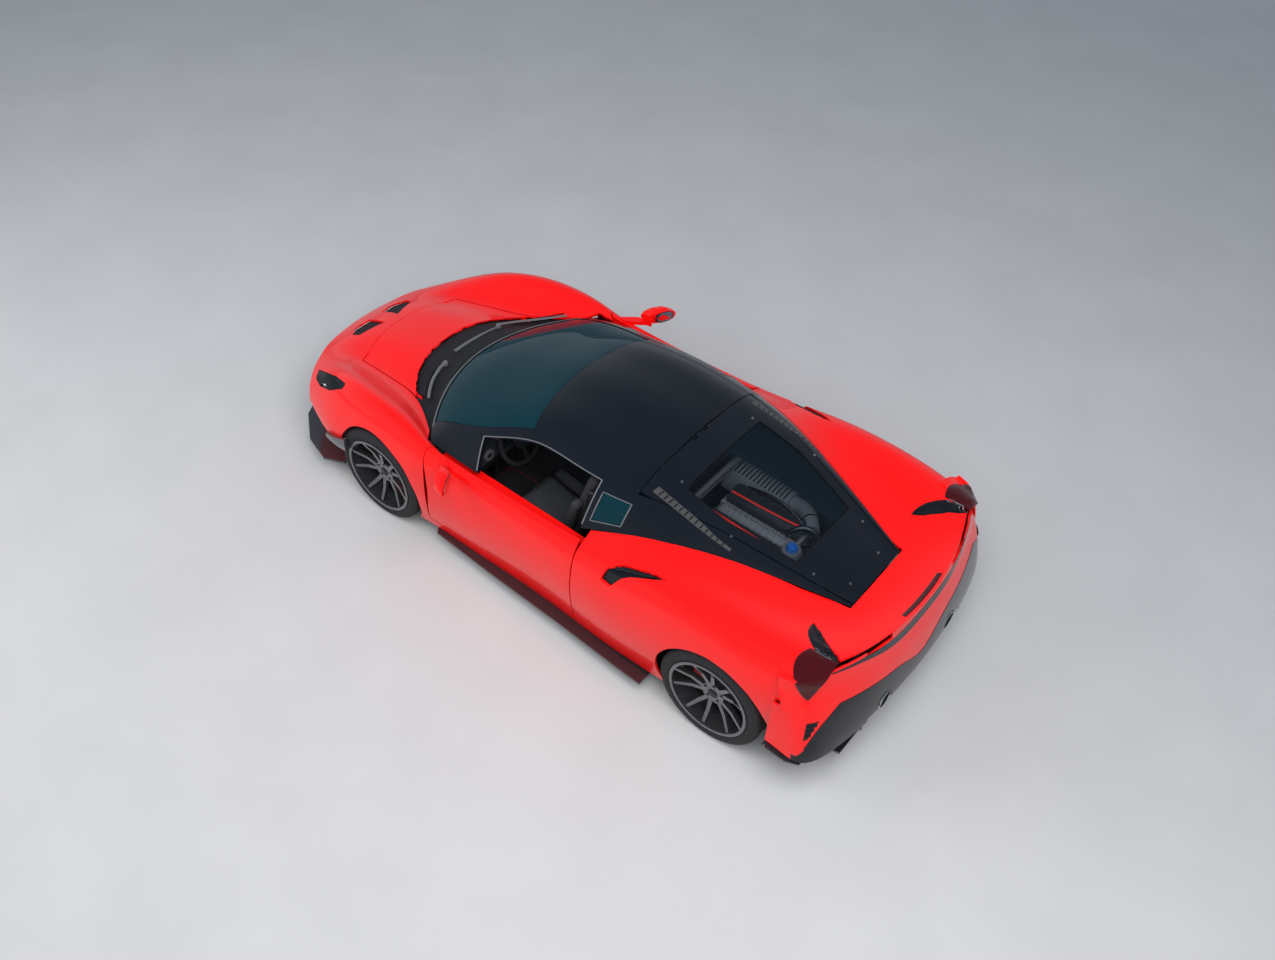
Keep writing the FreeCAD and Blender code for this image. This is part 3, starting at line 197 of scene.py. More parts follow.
class Skin(Surface):
    """Surface through the sections of a table, with the right side as the left one's mirror image."""

    def __init__(self, table: Sequence[Sequence[float]], rows: Callable[..., list], width: float) -> None:
        """Prepares the station curves.

        Args:
            table: sections in millimetres, one row each.
            rows: function from the columns to the (y, z) rows of the left half.
            width: distance out at which the sweep column holds.
        """
        data = np.array(sorted(table), float)
        self.stations, self.data = data[:, 0], data[:, 1:]
        self.rows, self.width = rows, width

    def at(self, u: np.ndarray, v: np.ndarray) -> np.ndarray:
        """Points of the surface, in metres.

        Args:
            u: rows, counted from the left sill or belt.
            v: stations, in millimetres.

        Returns:
            Points of shape (count, 3).
        """
        u, v = np.asarray(u, float), np.asarray(v, float)
        levels, where = np.unique(v, return_inverse=True)
        sets = len(levels)
        columns = []
        for k in range(self.data.shape[1]):
            t = np.repeat(self.stations[:, None], sets, 1)
            value = np.repeat(self.data[:, k][:, None], sets, 1)
            columns.append(Curves(t, value)(levels))
        sweep = columns[0]
        half = np.array([[y + 0 * sweep, z + 0 * sweep] for y, z in self.rows(*columns[1:])])
        y = np.concatenate([half[:, 0], -half[-2::-1, 0]])
        z = np.concatenate([half[:, 1], half[-2::-1, 1]])
        x = levels[None] - sweep[None] * (y / self.width) ** 2
        points = np.stack([x, y, z])
        along = np.zeros_like(x)
        along[1:] = np.cumsum(np.linalg.norm(np.diff(points, axis=1), axis=0), axis=0)
        row = np.clip(u.astype(int), 0, len(x) - 2)
        distance = along[row, where] + (u - row) * (along[row + 1, where] - along[row, where])
        return np.stack([Curves(along[:, where], points[k][:, where])(distance) for k in range(3)], 1) / 1000


class Tail(Surface):
    """Outer side of the tail, with u the place along the plan curve and v the level."""

    def __init__(self) -> None:
        """Prepares the plan curves of each level."""
        self.levels = np.array([z for z, _ in TAIL_LEVELS], float)
        rows = []
        for _, share in TAIL_LEVELS:
            row = [[a + share * (b - a) for a, b in zip(low, high)] for low, high in zip(TAIL_LOW, TAIL_HIGH)]
            rows.append(row + [[x, -y] for x, y in row[-2::-1]])
        self.grid = np.array(rows)

    def at(self, u: np.ndarray, v: np.ndarray) -> np.ndarray:
        """Points of the surface, in metres, with v counting the levels.

        Args:
            u: places along the plan curve.
            v: levels, counted from the lowest.

        Returns:
            Points of shape (count, 3).
        """
        u, v = np.asarray(u, float), np.asarray(v, float)
        count = len(u)
        knots = np.arange(len(self.levels), dtype=float)
        numbers = np.arange(self.grid.shape[1], dtype=float)
        z = Curves(np.repeat(knots[:, None], count, 1), np.repeat(self.levels[:, None], count, 1))(v)
        place = []
        for k in range(2):
            rows = [Curves(np.repeat(numbers[:, None], count, 1), np.repeat(row[:, None], count, 1))(u)
                    for row in self.grid[:, :, k]]
            place.append(Curves(np.repeat(knots[:, None], count, 1), np.array(rows))(v))
        return np.stack([place[0], place[1], z], 1) / 1000

    def normal(self, u: np.ndarray, v: np.ndarray, dv: float = 0.01) -> np.ndarray:
        """Outward unit normals."""
        return super().normal(u, v, dv)


def side_rows(*c: np.ndarray) -> list:
    """Rows of a body section from the sill over the crest to the valley.

    Args:
        c: the section's columns.

    Returns:
        Rows of (y, z).
    """
    sill_y, sill_z, waist_y, waist_z, crest_y, crest_z, valley_y, valley_z, _ = c
    rows = [(sill_y, sill_z), (waist_y - (waist_y - sill_y) * 0.25, (sill_z + waist_z) / 2), (waist_y, waist_z)]
    for turn in (30, 60):
        out, up = math.cos(math.radians(turn)), math.sin(math.radians(turn))
        full = 2 / 2.25
        rows.append((crest_y + (waist_y - crest_y) * out ** full, waist_z + (crest_z - waist_z) * up ** full))
    return rows + [(crest_y, crest_z), ((crest_y + valley_y) / 2, (crest_z + valley_z) / 2), (valley_y, valley_z)]


def body_rows(*c: np.ndarray) -> list:
    """Rows of the left half of a body section."""
    valley_y, valley_z, centre_z = c[-3:]
    return side_rows(*c) + [(valley_y * 0.55, centre_z - (centre_z - valley_z) * 0.3), (0, centre_z)]


def canopy_rows(*c: np.ndarray) -> list:
    """Rows of the left half of a glasshouse section.

    Args:
        c: the section's columns.

    Returns:
        Rows of (y, z).
    """
    belt_y, belt_z, rail_y, rail_z, centre_z = c
    lean, rise, crown = belt_y - rail_y, rail_z - belt_z, centre_z - rail_z
    return [(belt_y, belt_z), (belt_y - lean * 0.42, belt_z + rise * 0.5),
            (rail_y + lean * 0.12, belt_z + rise * 0.9), (rail_y * 0.85, rail_z + crown * 0.38),
            (rail_y * 0.45, centre_z - crown * 0.2), (0, centre_z)]


BODY_SKIN = Skin(BODY, body_rows, 900.0)
CANOPY_SKIN = Skin(CANOPY, canopy_rows, 823.0)
TAIL_SKIN = Tail()


# Materials
class Value:
    """A node socket that takes part in Python expressions."""

    def __init__(self, tree: bpy.types.NodeTree, socket: bpy.types.NodeSocket) -> None:
        """Keeps the tree and the socket."""
        self.tree, self.socket = tree, socket

    def math(self, operation: str, *others: object, flip: bool = False, clamp: bool = False) -> "Value":
        """Adds a Math node.

        Args:
            operation: the node's operation.
            others: further values, as sockets or numbers.
            flip: puts this value second.
            clamp: keeps the result between 0 and 1.

        Returns:
            The node's result.
        """
        node = self.tree.nodes.new("ShaderNodeMath")
        node.operation, node.use_clamp = operation, clamp
        parts = [self, *others]
        if flip:
            parts = parts[::-1]
        for place, part in zip(node.inputs, parts):
            if isinstance(part, Value):
                self.tree.links.new(part.socket, place)
            else:
                place.default_value = float(part)
        return Value(self.tree, node.outputs[0])

    def __add__(self, other: object) -> "Value":
        """Sum."""
        return self.math("ADD", other)

    def __sub__(self, other: object) -> "Value":
        """Difference."""
        return self.math("SUBTRACT", other)

    def __rsub__(self, other: object) -> "Value":
        """Difference from a number."""
        return self.math("SUBTRACT", other, flip=True)

    def __mul__(self, other: object) -> "Value":
        """Product."""
        return self.math("MULTIPLY", other)

    def __truediv__(self, other: object) -> "Value":
        """Quotient."""
        return self.math("DIVIDE", other)

    def __gt__(self, other: object) -> "Value":
        """One where this is larger, else zero."""
        return self.math("GREATER_THAN", other)

    __radd__ = __add__
    __rmul__ = __mul__

    def clamp(self) -> "Value":
        """The value kept between 0 and 1."""
        return self.math("ADD", 0.0, clamp=True)


class Shader:
    """A material under construction, with its main shader node."""

    def __init__(self, name: str) -> None:
        """Starts a material.

        Args:
            name: the material's name.
        """
        self.material = bpy.data.materials.new(name)
        self.material.use_nodes = True
        self.tree = self.material.node_tree
        self.main = self.tree.nodes["Principled BSDF"]
        self.output = self.tree.nodes["Material Output"]

    def node(self, kind: str, settings: Optional[dict] = None, inputs: Optional[dict] = None) -> bpy.types.Node:
        """Adds a node.

        Args:
            kind: the node's type without its ShaderNode prefix.
            settings: properties, set first.
            inputs: numbers, colours, sockets or values by socket name.

        Returns:
            The node.
        """
        node = self.tree.nodes.new("ShaderNode" + kind)
        for name, value in (settings or {}).items():
            setattr(node, name, value)
        for name, value in (inputs or {}).items():
            self.set(node.inputs[name], value)
        return node

    def set(self, socket: bpy.types.NodeSocket, value: object) -> None:
        """Links a value to a socket, or sets the socket's own number.

        Args:
            socket: where the value goes.
            value: a value, a socket, a number or a colour.
        """
        if isinstance(value, Value):
            self.tree.links.new(value.socket, socket)
        elif isinstance(value, bpy.types.NodeSocket):
            self.tree.links.new(value, socket)
        else:
            socket.default_value = value

    def value(self, node: bpy.types.Node, name: object = 0) -> Value:
        """A node's output as a value."""
        return Value(self.tree, node.outputs[name])

    def coordinates(self, scale: Sequence[float] = (1, 1, 1), turn: Sequence[float] = (0, 0, 0),
                    shift: Sequence[float] = (0, 0, 0)) -> bpy.types.NodeSocket:
        """Object coordinates, moved, turned and scaled.

        Args:
            scale: factor along each axis.
            turn: rotation.
            shift: move.

        Returns:
            The mapped vector.
        """
        where = self.node("TexCoord")
        mapping = self.node("Mapping", None, {"Vector": where.outputs["Object"], "Scale": scale, "Rotation": turn,
                                              "Location": shift})
        return mapping.outputs[0]

    def noise(self, scale: float, detail: float = 2.0, coords: Optional[bpy.types.NodeSocket] = None) -> Value:
        """Noise between 0 and 1."""
        node = self.node("TexNoise", None, {"Vector": coords or self.coordinates(), "Scale": scale, "Detail": detail})
        return self.value(node, "Fac")

    def mix(self, factor: object, first: Sequence[float], second: Sequence[float]) -> Value:
        """Colour between two colours.

        Args:
            factor: share of the second colour.
            first: a colour.
            second: the other.

        Returns:
            The mixed colour.
        """
        node = self.node("Mix", {"data_type": "RGBA"})
        self.set(node.inputs[0], factor)
        for place, colour in ((6, first), (7, second)):
            self.set(node.inputs[place], (*colour, 1) if not isinstance(colour, Value) else colour)
        return self.value(node, 2)

    def bump(self, height: Value, strength: float, distance: float) -> None:
        """Raises the surface by a height, through the normal."""
        node = self.node("Bump", None, {"Strength": strength, "Distance": distance, "Height": height})
        self.tree.links.new(node.outputs[0], self.main.inputs["Normal"])


Colour = tuple[float, float, float]


@dataclass(frozen=True)
class Finish:
    """A plain finish with a slight change of colour and roughness over it and a fine bump."""

    name: str
    colour: Colour
    roughness: float = 0.5
    metallic: float = 0.0
    coat: float = 0.0
    coat_roughness: float = 0.03
    change: float = 0.15
    change_scale: float = 6.0
    grain_scale: float = 400.0
    grain: float = 0.1
    grain_depth: float = 0.0004
    emission: Optional[Colour] = None
    glow: float = 0.0
    shine: float = 0.5

    def build(self) -> bpy.types.Material:
        """Makes the material.

        Returns:
            The material.
        """
        shader = Shader(self.name)
        main = shader.main
        patches = shader.noise(self.change_scale, 3.0)
        dark = tuple(c * (1 - self.change) for c in self.colour)
        light = tuple(min(1.0, c * (1 + self.change)) for c in self.colour)
        shader.set(main.inputs["Base Color"], shader.mix(patches, dark, light))
        spread = shader.noise(self.change_scale * 4, 2.0)
        shader.set(main.inputs["Roughness"], spread * (0.3 * self.roughness) + 0.85 * self.roughness)
        main.inputs["Metallic"].default_value = self.metallic
        main.inputs["Coat Weight"].default_value = self.coat
        main.inputs["Coat Roughness"].default_value = self.coat_roughness
        main.inputs["Specular IOR Level"].default_value = self.shine
        if self.emission:
            main.inputs["Emission Color"].default_value = (*self.emission, 1)
            main.inputs["Emission Strength"].default_value = self.glow
        if self.grain:
            self.surface(shader)
        return shader.material

    def surface(self, shader: Shader) -> None:
        """Adds the fine bump."""
        shader.bump(shader.noise(self.grain_scale, 2.0), self.grain, self.grain_depth)


@dataclass(frozen=True)
class CarbonFinish(Finish):
    """Woven carbon sheet under lacquer."""

    pitch: float = 0.006

    def surface(self, shader: Shader) -> None:
        """Adds the twill to the colour.

        Args:
            shader: the material.
        """
        coords = shader.coordinates((1 / self.pitch,) * 3)
        split = shader.node("SeparateXYZ", None, {"Vector": coords})
        x, y = shader.value(split, 0), shader.value(split, 1)
        weave = ((x + y).math("FRACT") > 0.5).math("ADD", 0.0)
        other = ((x - y).math("FRACT") > 0.5).math("ADD", 0.0)
        twill = (weave - other).math("ABSOLUTE")
        light = tuple(c * 2.4 for c in self.colour)
        shader.set(shader.main.inputs["Base Color"], shader.mix(twill, self.colour, light))


@dataclass(frozen=True)
class ClothFinish(Finish):
    """Woven cloth or suede with a visible thread."""

    thread: float = 0.0016

    def surface(self, shader: Shader) -> None:
        """Adds the weave to the bump.

        Args:
            shader: the material.
        """
        coords = shader.coordinates((1 / self.thread,) * 3)
        split = shader.node("SeparateXYZ", None, {"Vector": coords})
        x, y, z = (shader.value(split, k) for k in range(3))
        warp = ((x + z) * math.pi).math("SINE").math("ABSOLUTE")
        weft = (y * math.pi).math("SINE").math("ABSOLUTE")
        shader.bump(warp * weft + shader.noise(60.0) * 0.4, 0.5, 0.0006)


@dataclass(frozen=True)
class BrushedFinish(Finish):
    """Metal turned about an axle along Y, with fine rings."""

    rings: float = 900.0
    centre: tuple[float, float] = (0.0, 0.0)

    def surface(self, shader: Shader) -> None:
        """Adds the turned rings to the bump.

        Args:
            shader: the material.
        """
        split = shader.node("SeparateXYZ", None, {"Vector": shader.node("TexCoord").outputs["Object"]})
        x, z = shader.value(split, 0) - self.centre[0], shader.value(split, 2) - self.centre[1]
        radius = (x * x + z * z).math("SQRT")
        shader.bump((radius * self.rings).math("SINE"), 0.15, 0.0003)


@dataclass(frozen=True)
class GlassFinish:
    """Thin tinted glass: a clear tint with reflections that grow at a slant."""

    name: str
    tint: Colour
    gloss: Colour = (0.02, 0.03, 0.03)
    cover: float = 0.2
    roughness: float = 0.03

    def build(self) -> bpy.types.Material:
        """Makes the material.

        Returns:
            The material.
        """
        shader = Shader(self.name)
        shader.main.inputs["Base Color"].default_value = (*self.gloss, 1)
        shader.main.inputs["Roughness"].default_value = self.roughness
        shader.main.inputs["IOR"].default_value = 1.5
        clear = shader.node("BsdfTransparent", None, {"Color": (*self.tint, 1)})
        fresnel = shader.value(shader.node("Fresnel", None, {"IOR": 1.5}))
        smudge = shader.noise(3.0, 3.0) * 0.06
        blend = shader.node("MixShader")
        shader.set(blend.inputs[0], (fresnel + smudge + self.cover).clamp())
        shader.tree.links.new(clear.outputs[0], blend.inputs[1])
        shader.tree.links.new(shader.main.outputs[0], blend.inputs[2])
        shader.tree.links.new(blend.outputs[0], shader.output.inputs[0])
        return shader.material


class Look(Enum):
    """The finishes of the car."""

    PAINT = Finish("red_paint", (0.90, 0.004, 0.003), 0.36, 0.0, 0.45, 0.03, 0.04, 2.0, 900.0, 0.03, shine=0.2)
    GLOSS = Finish("gloss_black", (0.005, 0.006, 0.008), 0.18, 0.0, 0.25, 0.03, 0.3, 3.0, 900.0, 0.02, shine=0.2)
    ROOF = Finish("roof_black", (0.004, 0.006, 0.010), 0.26, 0.0, 0.35, 0.02, 0.3, 2.0, 900.0, 0.02, shine=0.2)
    TRIM = Finish("matte_trim", (0.014, 0.014, 0.016), 0.6, grain=0.35, grain_scale=700.0, shine=0.25)
    LINER = Finish("liner_felt", (0.007, 0.007, 0.007), 0.9, grain=0.5, grain_scale=300.0, shine=0.15)
    SEAL = Finish("rubber_seal", (0.10, 0.105, 0.11), 0.45, grain=0.2)
    CARBON = CarbonFinish("carbon_sheet", (0.012, 0.012, 0.014), 0.3, 0.0, 1.0)
    RUBBER = Finish("tyre_rubber", (0.022, 0.022, 0.023), 0.75, change=0.25, grain=0.4, grain_scale=500.0, shine=0.3)
    RIM = Finish("rim_metal", (0.15, 0.152, 0.16), 0.28, 0.85, 0.6, 0.08, 0.15)
    BOLT = Finish("bolt_metal", (0.35, 0.35, 0.36), 0.3, 1.0)
    DISC = BrushedFinish("brake_metal", (0.42, 0.42, 0.43), 0.35, 1.0)
    CALIPER = Finish("caliper_paint", (0.62, 0.012, 0.010), 0.35, 0.0, 0.8)
    FORGED = Finish("forged_metal", (0.16, 0.16, 0.17), 0.5, 0.9, grain=0.4, grain_scale=200.0)
    CAST = Finish("cast_metal", (0.45, 0.45, 0.46), 0.45, 0.7, grain=0.5, grain_scale=250.0)
    FRAME = Finish("frame_metal", (0.045, 0.045, 0.05), 0.6, 0.3, grain=0.2)
    STEEL = Finish("tip_steel", (0.55, 0.54, 0.52), 0.22, 1.0, grain=0.1)
    # Very dark soot inside the exhaust bores; the same colour on thin dark discs that stand for the drilled holes of
    # the brake discs and the speaker grilles is painted shade of those holes.
    SOOT = Finish("tip_soot", (0.012, 0.011, 0.010), 0.9, grain=0.3)
    SEAT = ClothFinish("seat_cloth", (0.060, 0.061, 0.065), 0.85)
    SUEDE = ClothFinish("dash_suede", (0.028, 0.028, 0.031), 0.9, thread=0.0011)
    LEATHER = Finish("wheel_leather", (0.02, 0.02, 0.021), 0.5, grain=0.6, grain_scale=500.0)
    STITCH = Finish("red_thread", (0.5, 0.02, 0.015), 0.7, grain=0.3)
    CARPET = Finish("floor_carpet", (0.03, 0.03, 0.032), 0.95, grain=0.8, grain_scale=900.0)
    GREY = Finish("satin_grey", (0.18, 0.185, 0.19), 0.35, 0.4, 0.3)
    MIRROR = Finish("mirror_silver", (0.8, 0.82, 0.84), 0.03, 1.0, grain=0.0)
    LED = Finish("lamp_white", (0.85, 0.87, 0.9), 0.15, grain=0.0, emission=(1, 1, 1), glow=0.25)
    RED_LAMP = Finish("lamp_red", (0.050, 0.0005, 0.0015), 0.08, 0.0, 0.3, grain=0.0, shine=0.3)
    BLUE = Finish("cap_blue", (0.02, 0.12, 0.45), 0.4, grain=0.1)
    REDPART = Finish("engine_red", (0.75, 0.03, 0.02), 0.4, 0.0, 0.4)
    PROJECTOR = Finish("projector_glass", (0.16, 0.22, 0.27), 0.08, 0.3, 1.0, grain=0.0)
    SCREEN_DARK = Finish("dark_display", (0.006, 0.008, 0.012), 0.12, 0.0, 1.0, grain=0.0)
    PLATE = Finish("blank_plate", (0.62, 0.63, 0.64), 0.35, grain=0.1)
    BOX = Finish("intake_plastic", (0.13, 0.14, 0.155), 0.34, 0.0, 0.4, grain=0.25)
    FOIL = Finish("shield_metal", (0.42, 0.41, 0.40), 0.3, 1.0, change=0.4, change_scale=20, grain=0.8,
                  grain_scale=60.0, grain_depth=0.002)
    SCREEN = GlassFinish("windscreen_glass", (0.45, 0.80, 0.82), (0.006, 0.055, 0.075), 0.30)
    LID_GLASS = GlassFinish("lid_glass", (0.95, 0.97, 0.99), (0.01, 0.018, 0.025), 0.0)
    LOUVRE = Finish("louvre_grey", (0.055, 0.053, 0.052), 0.5, grain=0.2)
    LENS = GlassFinish("lamp_glass", (0.85, 0.88, 0.9), (0.03, 0.035, 0.04), 0.06)


class Paints:
    """Makes each finish once."""

    made: dict[Look, bpy.types.Material] = {}

    @classmethod
    def get(cls, look: Look) -> bpy.types.Material:
        """The material of a finish.

        Args:
            look: the finish.

        Returns:
            The material.
        """
        if look not in cls.made:
            cls.made[look] = look.value.build()
        return cls.made[look]


# Pieces
class Build:
    """Helpers that make and declare pieces."""

    bodies = {node: body for body, nodes in frame["record"]["behaviour"]["bodies"].items() for node in nodes}
    slots = {row["node"]: row["material_slot"] for row in frame["record"]["subparts"]}

    @staticmethod
    def place(name: str, data: bpy.types.ID) -> bpy.types.Object:
        """An object of some data, linked to the scene.

        Args:
            name: the object's name.
            data: mesh, camera or light.

        Returns:
            The object.
        """
        obj = bpy.data.objects.new(name, data)
        bpy.context.scene.collection.objects.link(obj)
        return obj

    @staticmethod
    def mesh(name: str, verts: Iterable, faces: Iterable) -> bpy.types.Object:
        """An object from points and faces, in metres.

        Args:
            name: the piece's name.
            verts: points.
            faces: corners of each face.

        Returns:
            The object.
        """
        data = bpy.data.meshes.new(name)
        data.from_pydata([tuple(v) for v in verts], [], [tuple(f) for f in faces])
        data.update()
        return Build.place(name, data)

    @staticmethod
    def from_bmesh(name: str, bm: bmesh.types.BMesh) -> bpy.types.Object:
        """An object from a bmesh, which is freed.

        Args:
            name: the piece's name.
            bm: the mesh.

        Returns:
            The object.
        """
        data = bpy.data.meshes.new(name)
        bm.to_mesh(data)
        bm.free()
        return Build.place(name, data)

    @staticmethod
    def tidy(obj: bpy.types.Object, smooth: float = 35.0, doubles: float = 1e-5) -> None:
        """Merges doubles, points the faces outwards and smooths edges under an angle in degrees.

        Args:
            obj: the piece.
            smooth: the angle.
            doubles: distance that counts as the same place.
        """
        bm = bmesh.new()
        bm.from_mesh(obj.data)
        bmesh.ops.remove_doubles(bm, verts=bm.verts, dist=doubles)
        bmesh.ops.recalc_face_normals(bm, faces=bm.faces)
        for face in bm.faces:
            face.smooth = True
        for edge in bm.edges:
            edge.smooth = len(edge.link_faces) == 2 and edge.calc_face_angle(0) < math.radians(smooth)
        bm.to_mesh(obj.data)
        bm.free()

    @staticmethod
    def bevel(obj: bpy.types.Object, width: float, segments: int = 2, angle: float = 35.0) -> None:
        """Rounds the edges sharper than an angle in degrees.

        Args:
            obj: the piece.
            width: width of the rounding.
            segments: steps across it.
            angle: the angle.
        """
        mod = obj.modifiers.new("bevel", "BEVEL")
        mod.width, mod.segments, mod.limit_method = width, segments, "ANGLE"
        mod.angle_limit = math.radians(angle)
        mod.harden_normals = False

    @staticmethod
    def dress(obj: bpy.types.Object, look: Look) -> bpy.types.Object:
        """Gives a piece one finish.

        Args:
            obj: the piece.
            look: its finish.

        Returns:
            The piece.
        """
        obj.data.materials.clear()
        obj.data.materials.append(Paints.get(look))
        return obj

    @classmethod
    def declare(cls, obj: bpy.types.Object, like: str, look: Optional[Look] = None,
                replaces: Sequence[str] = ()) -> bpy.types.Object:
        """Makes a piece ride with a CAD node's body.

        Args:
            obj: the piece.
            like: the CAD node that it goes with.
            look: its finish, if it has none yet.
            replaces: CAD nodes that it stands for.

        Returns:
            The piece.
        """
        if look:
            cls.dress(obj, look)
        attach(obj, cls.bodies[like])
        if replaces:
            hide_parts(*replaces)
        log.info("piece %s on %s", obj.name, cls.bodies[like])
        return obj

    @classmethod
    def loft(cls, name: str, rings: Sequence[Sequence], closed: bool = False, wrap: bool = True,
             smooth: float = 35.0) -> bpy.types.Object:
        """A closed skin through rings of points.

        Args:
            name: the piece's name.
            rings: rings with the same count of points.
            closed: joins the last ring to the first, else both are capped.
            wrap: joins the last point of each ring to its first.
            smooth: angle in degrees under which an edge looks smooth.

        Returns:
            The object.
        """
        count, size = len(rings), len(rings[0])
        faces = [] if closed else [tuple(range(size)), tuple(range((count - 1) * size, count * size))]
        for k in range(count if closed else count - 1):
            near, far = k * size, (k + 1) % count * size
            faces += [(near + i, near + (i + 1) % size, far + (i + 1) % size,
                       far + i) for i in range(size if wrap else size - 1)]
        obj = cls.mesh(name, [point for ring in rings for point in ring], faces)
        cls.tidy(obj, smooth)
        return obj

    @classmethod
    def lathe(cls, name: str, outline: Sequence[tuple[float, float]], centre: Sequence[float], count: int = 64,
              axis: str = "Y", closed: bool = True) -> bpy.types.Object:
        """A ring turned about an axis.

        Args:
            name: the piece's name.
            outline: (radius, along) points in metres.
            centre: the turning centre.
            count: steps round.
            axis: X, Y or Z.
            closed: joins the last point to the first.

        Returns:
            The object.
        """
        rings = []
        for k in range(count):
            turn = 2 * math.pi * k / count
            places = [(radius * math.cos(turn), radius * math.sin(turn), along) for radius, along in outline]
            order = {"X": (2, 0, 1), "Y": (0, 2, 1), "Z": (0, 1, 2)}[axis]
            rings.append([[place[i] + c for i, c in zip(order, centre)] for place in places])
        return cls.loft(name, rings, True, closed)

    @classmethod
    def prism(cls, name: str, outline: Sequence[tuple[float, float]], low: float, high: float, axis: str = "Z",
              bevel: float = 0.0) -> bpy.types.Object:
        """A plate with an outline, from low to high along an axis.

        Args:
            name: the piece's name.
            outline: points across the axis, in metres.
            low: where it starts.
            high: where it ends.
            axis: X, Y or Z.
            bevel: rounding of its edges.

        Returns:
            The object.
        """
        place = {"X": lambda a, b, level: (level, a, b), "Y": lambda a, b, level: (a, level, b),
                 "Z": lambda a, b, level: (a, b, level)}[axis]
        obj = cls.loft(name, [[place(a, b, level) for a, b in outline] for level in (low, high)])
        if bevel:
            cls.bevel(obj, bevel)
        return obj

    @classmethod
    def block(cls, name: str, low: Sequence[float], high: Sequence[float], bevel: float = 0.004) -> bpy.types.Object:
        """A rounded block between two corners."""
        outline = [(low[0], low[1]), (high[0], low[1]), (high[0], high[1]), (low[0], high[1])]
        return cls.prism(name, outline, low[2], high[2], "Z", bevel)

    @classmethod
    def tube(cls, name: str, path: Sequence[Sequence[float]], radius: float, sides: int = 10,
             closed: bool = False, flat: float = 1.0) -> bpy.types.Object:
        """A tube along a path of points.

        Args:
            name: the piece's name.
            path: points in metres.
            radius: the tube's radius.
            sides: faces round it.
            closed: joins the end to the start.
            flat: height of the section as a share of its width.

        Returns:
            The object.
        """
        points = [Vector(p) for p in path]
        count, rings = len(points), []
        up = Vector((0, 0, 1))
        for i, p in enumerate(points):
            before = points[(i - 1) % count] if closed or i else p
            after = points[(i + 1) % count] if closed or i < count - 1 else p
            along = (after - before).normalized()
            side = along.cross(up)
            side = side.normalized() if side.length > 0.05 else Vector((0, 1, 0))
            top = side.cross(along).normalized()
            turns = [2 * math.pi * k / sides for k in range(sides)]
            rings.append([p + side * (radius * math.cos(t)) + top * (radius * flat * math.sin(t)) for t in turns])
        return cls.loft(name, rings, closed, smooth=50.0)

    @classmethod
    def join(cls, name: str, objects: Sequence[bpy.types.Object]) -> bpy.types.Object:
        """One mesh of several, with their modifiers applied and materials kept.

        Args:
            name: the result's name.
            objects: what is joined and used up.

        Returns:
            The object.
        """
        bm = bmesh.new()
        materials: list = []
        graph = bpy.context.evaluated_depsgraph_get()
        for obj in objects:
            graph.update()
            data = bpy.data.meshes.new_from_object(obj.evaluated_get(graph))
            places = []
            for material in data.materials:
                if material not in materials:
                    materials.append(material)
                places.append(materials.index(material))
            first = len(bm.faces)
            bm.from_mesh(data)
            bm.faces.ensure_lookup_table()
            for face in bm.faces[first:]:
                face.material_index = places[face.material_index] if places else 0
            bpy.data.meshes.remove(data)
            bpy.data.objects.remove(obj)
        result = cls.from_bmesh(name, bm)
        for material in materials:
            result.data.materials.append(material)
        return result

    @classmethod
    def slab(cls, name: str, top: np.ndarray, low: np.ndarray) -> bpy.types.Object:
        """A closed plate between two grids of points.

        Args:
            name: the piece's name.
            top: points of shape (along, across, 3).
            low: those of the other side.

        Returns:
            The object.
        """
        along, across = top.shape[:2]
        total, faces = along * across, []
        for i in range(along - 1):
            for k in range(across - 1):
                a, b, c, d = i * across + k, i * across + k + 1, (i + 1) * across + k + 1, (i + 1) * across + k
                faces += [(a, b, c, d), (total + d, total + c, total + b, total + a)]
        rim = [i * across for i in range(along)] + [(along - 1) * across + k for k in range(1, across)]
        rim += [i * across + across - 1 for i in range(along - 2, -1, -1)] + list(range(across - 2, 0, -1))
        faces += [(a, b, b + total, a + total) for a, b in zip(rim, rim[1:] + rim[:1])]
        obj = cls.mesh(name, np.concatenate([top.reshape(-1, 3), low.reshape(-1, 3)]), faces)
        cls.tidy(obj, 40.0, 1e-6)
        return obj

    @staticmethod
    def copy(obj: bpy.types.Object, name: str, move: Matrix) -> bpy.types.Object:
        """A copy of a mesh, moved by a matrix.

        Args:
            obj: the mesh's object.
            name: the copy's name.
            move: the matrix.

        Returns:
            The copy.
        """
        data = obj.data.copy()
        data.transform(move)
        return Build.place(name, data)

    @classmethod
    def pair(cls, obj: bpy.types.Object, like: str, look: Optional[Look] = None, replaces: Sequence[str] = ()) -> None:
        """Declares a left piece and its mirror image on the right, on the same CAD node.

        Args:
            obj: the left piece.
            like: the CAD node.
            look: the finish.
            replaces: CAD nodes it stands for.
        """
        cls.declare(cls.mirror(obj, obj.name.replace("_left", "_right")), like, look, replaces)
        cls.declare(obj, like, look, replaces)

    @staticmethod
    def mirror(obj: bpy.types.Object, name: str) -> bpy.types.Object:
        """A mirrored copy on the other side of the car.

        Args:
            obj: the piece.
            name: the copy's name.

        Returns:
            The copy, with the same bevel.
        """
        data = obj.data.copy()
        bm = bmesh.new()
        bm.from_mesh(data)
        for vert in bm.verts:
            vert.co.y = -vert.co.y
        bmesh.ops.reverse_faces(bm, faces=bm.faces)
        bm.to_mesh(data)
        bm.free()
        copy = Build.place(name, data)
        for mod in obj.modifiers:
            if mod.type == "BEVEL":
                Build.bevel(copy, mod.width, mod.segments, math.degrees(mod.angle_limit))
        return copy


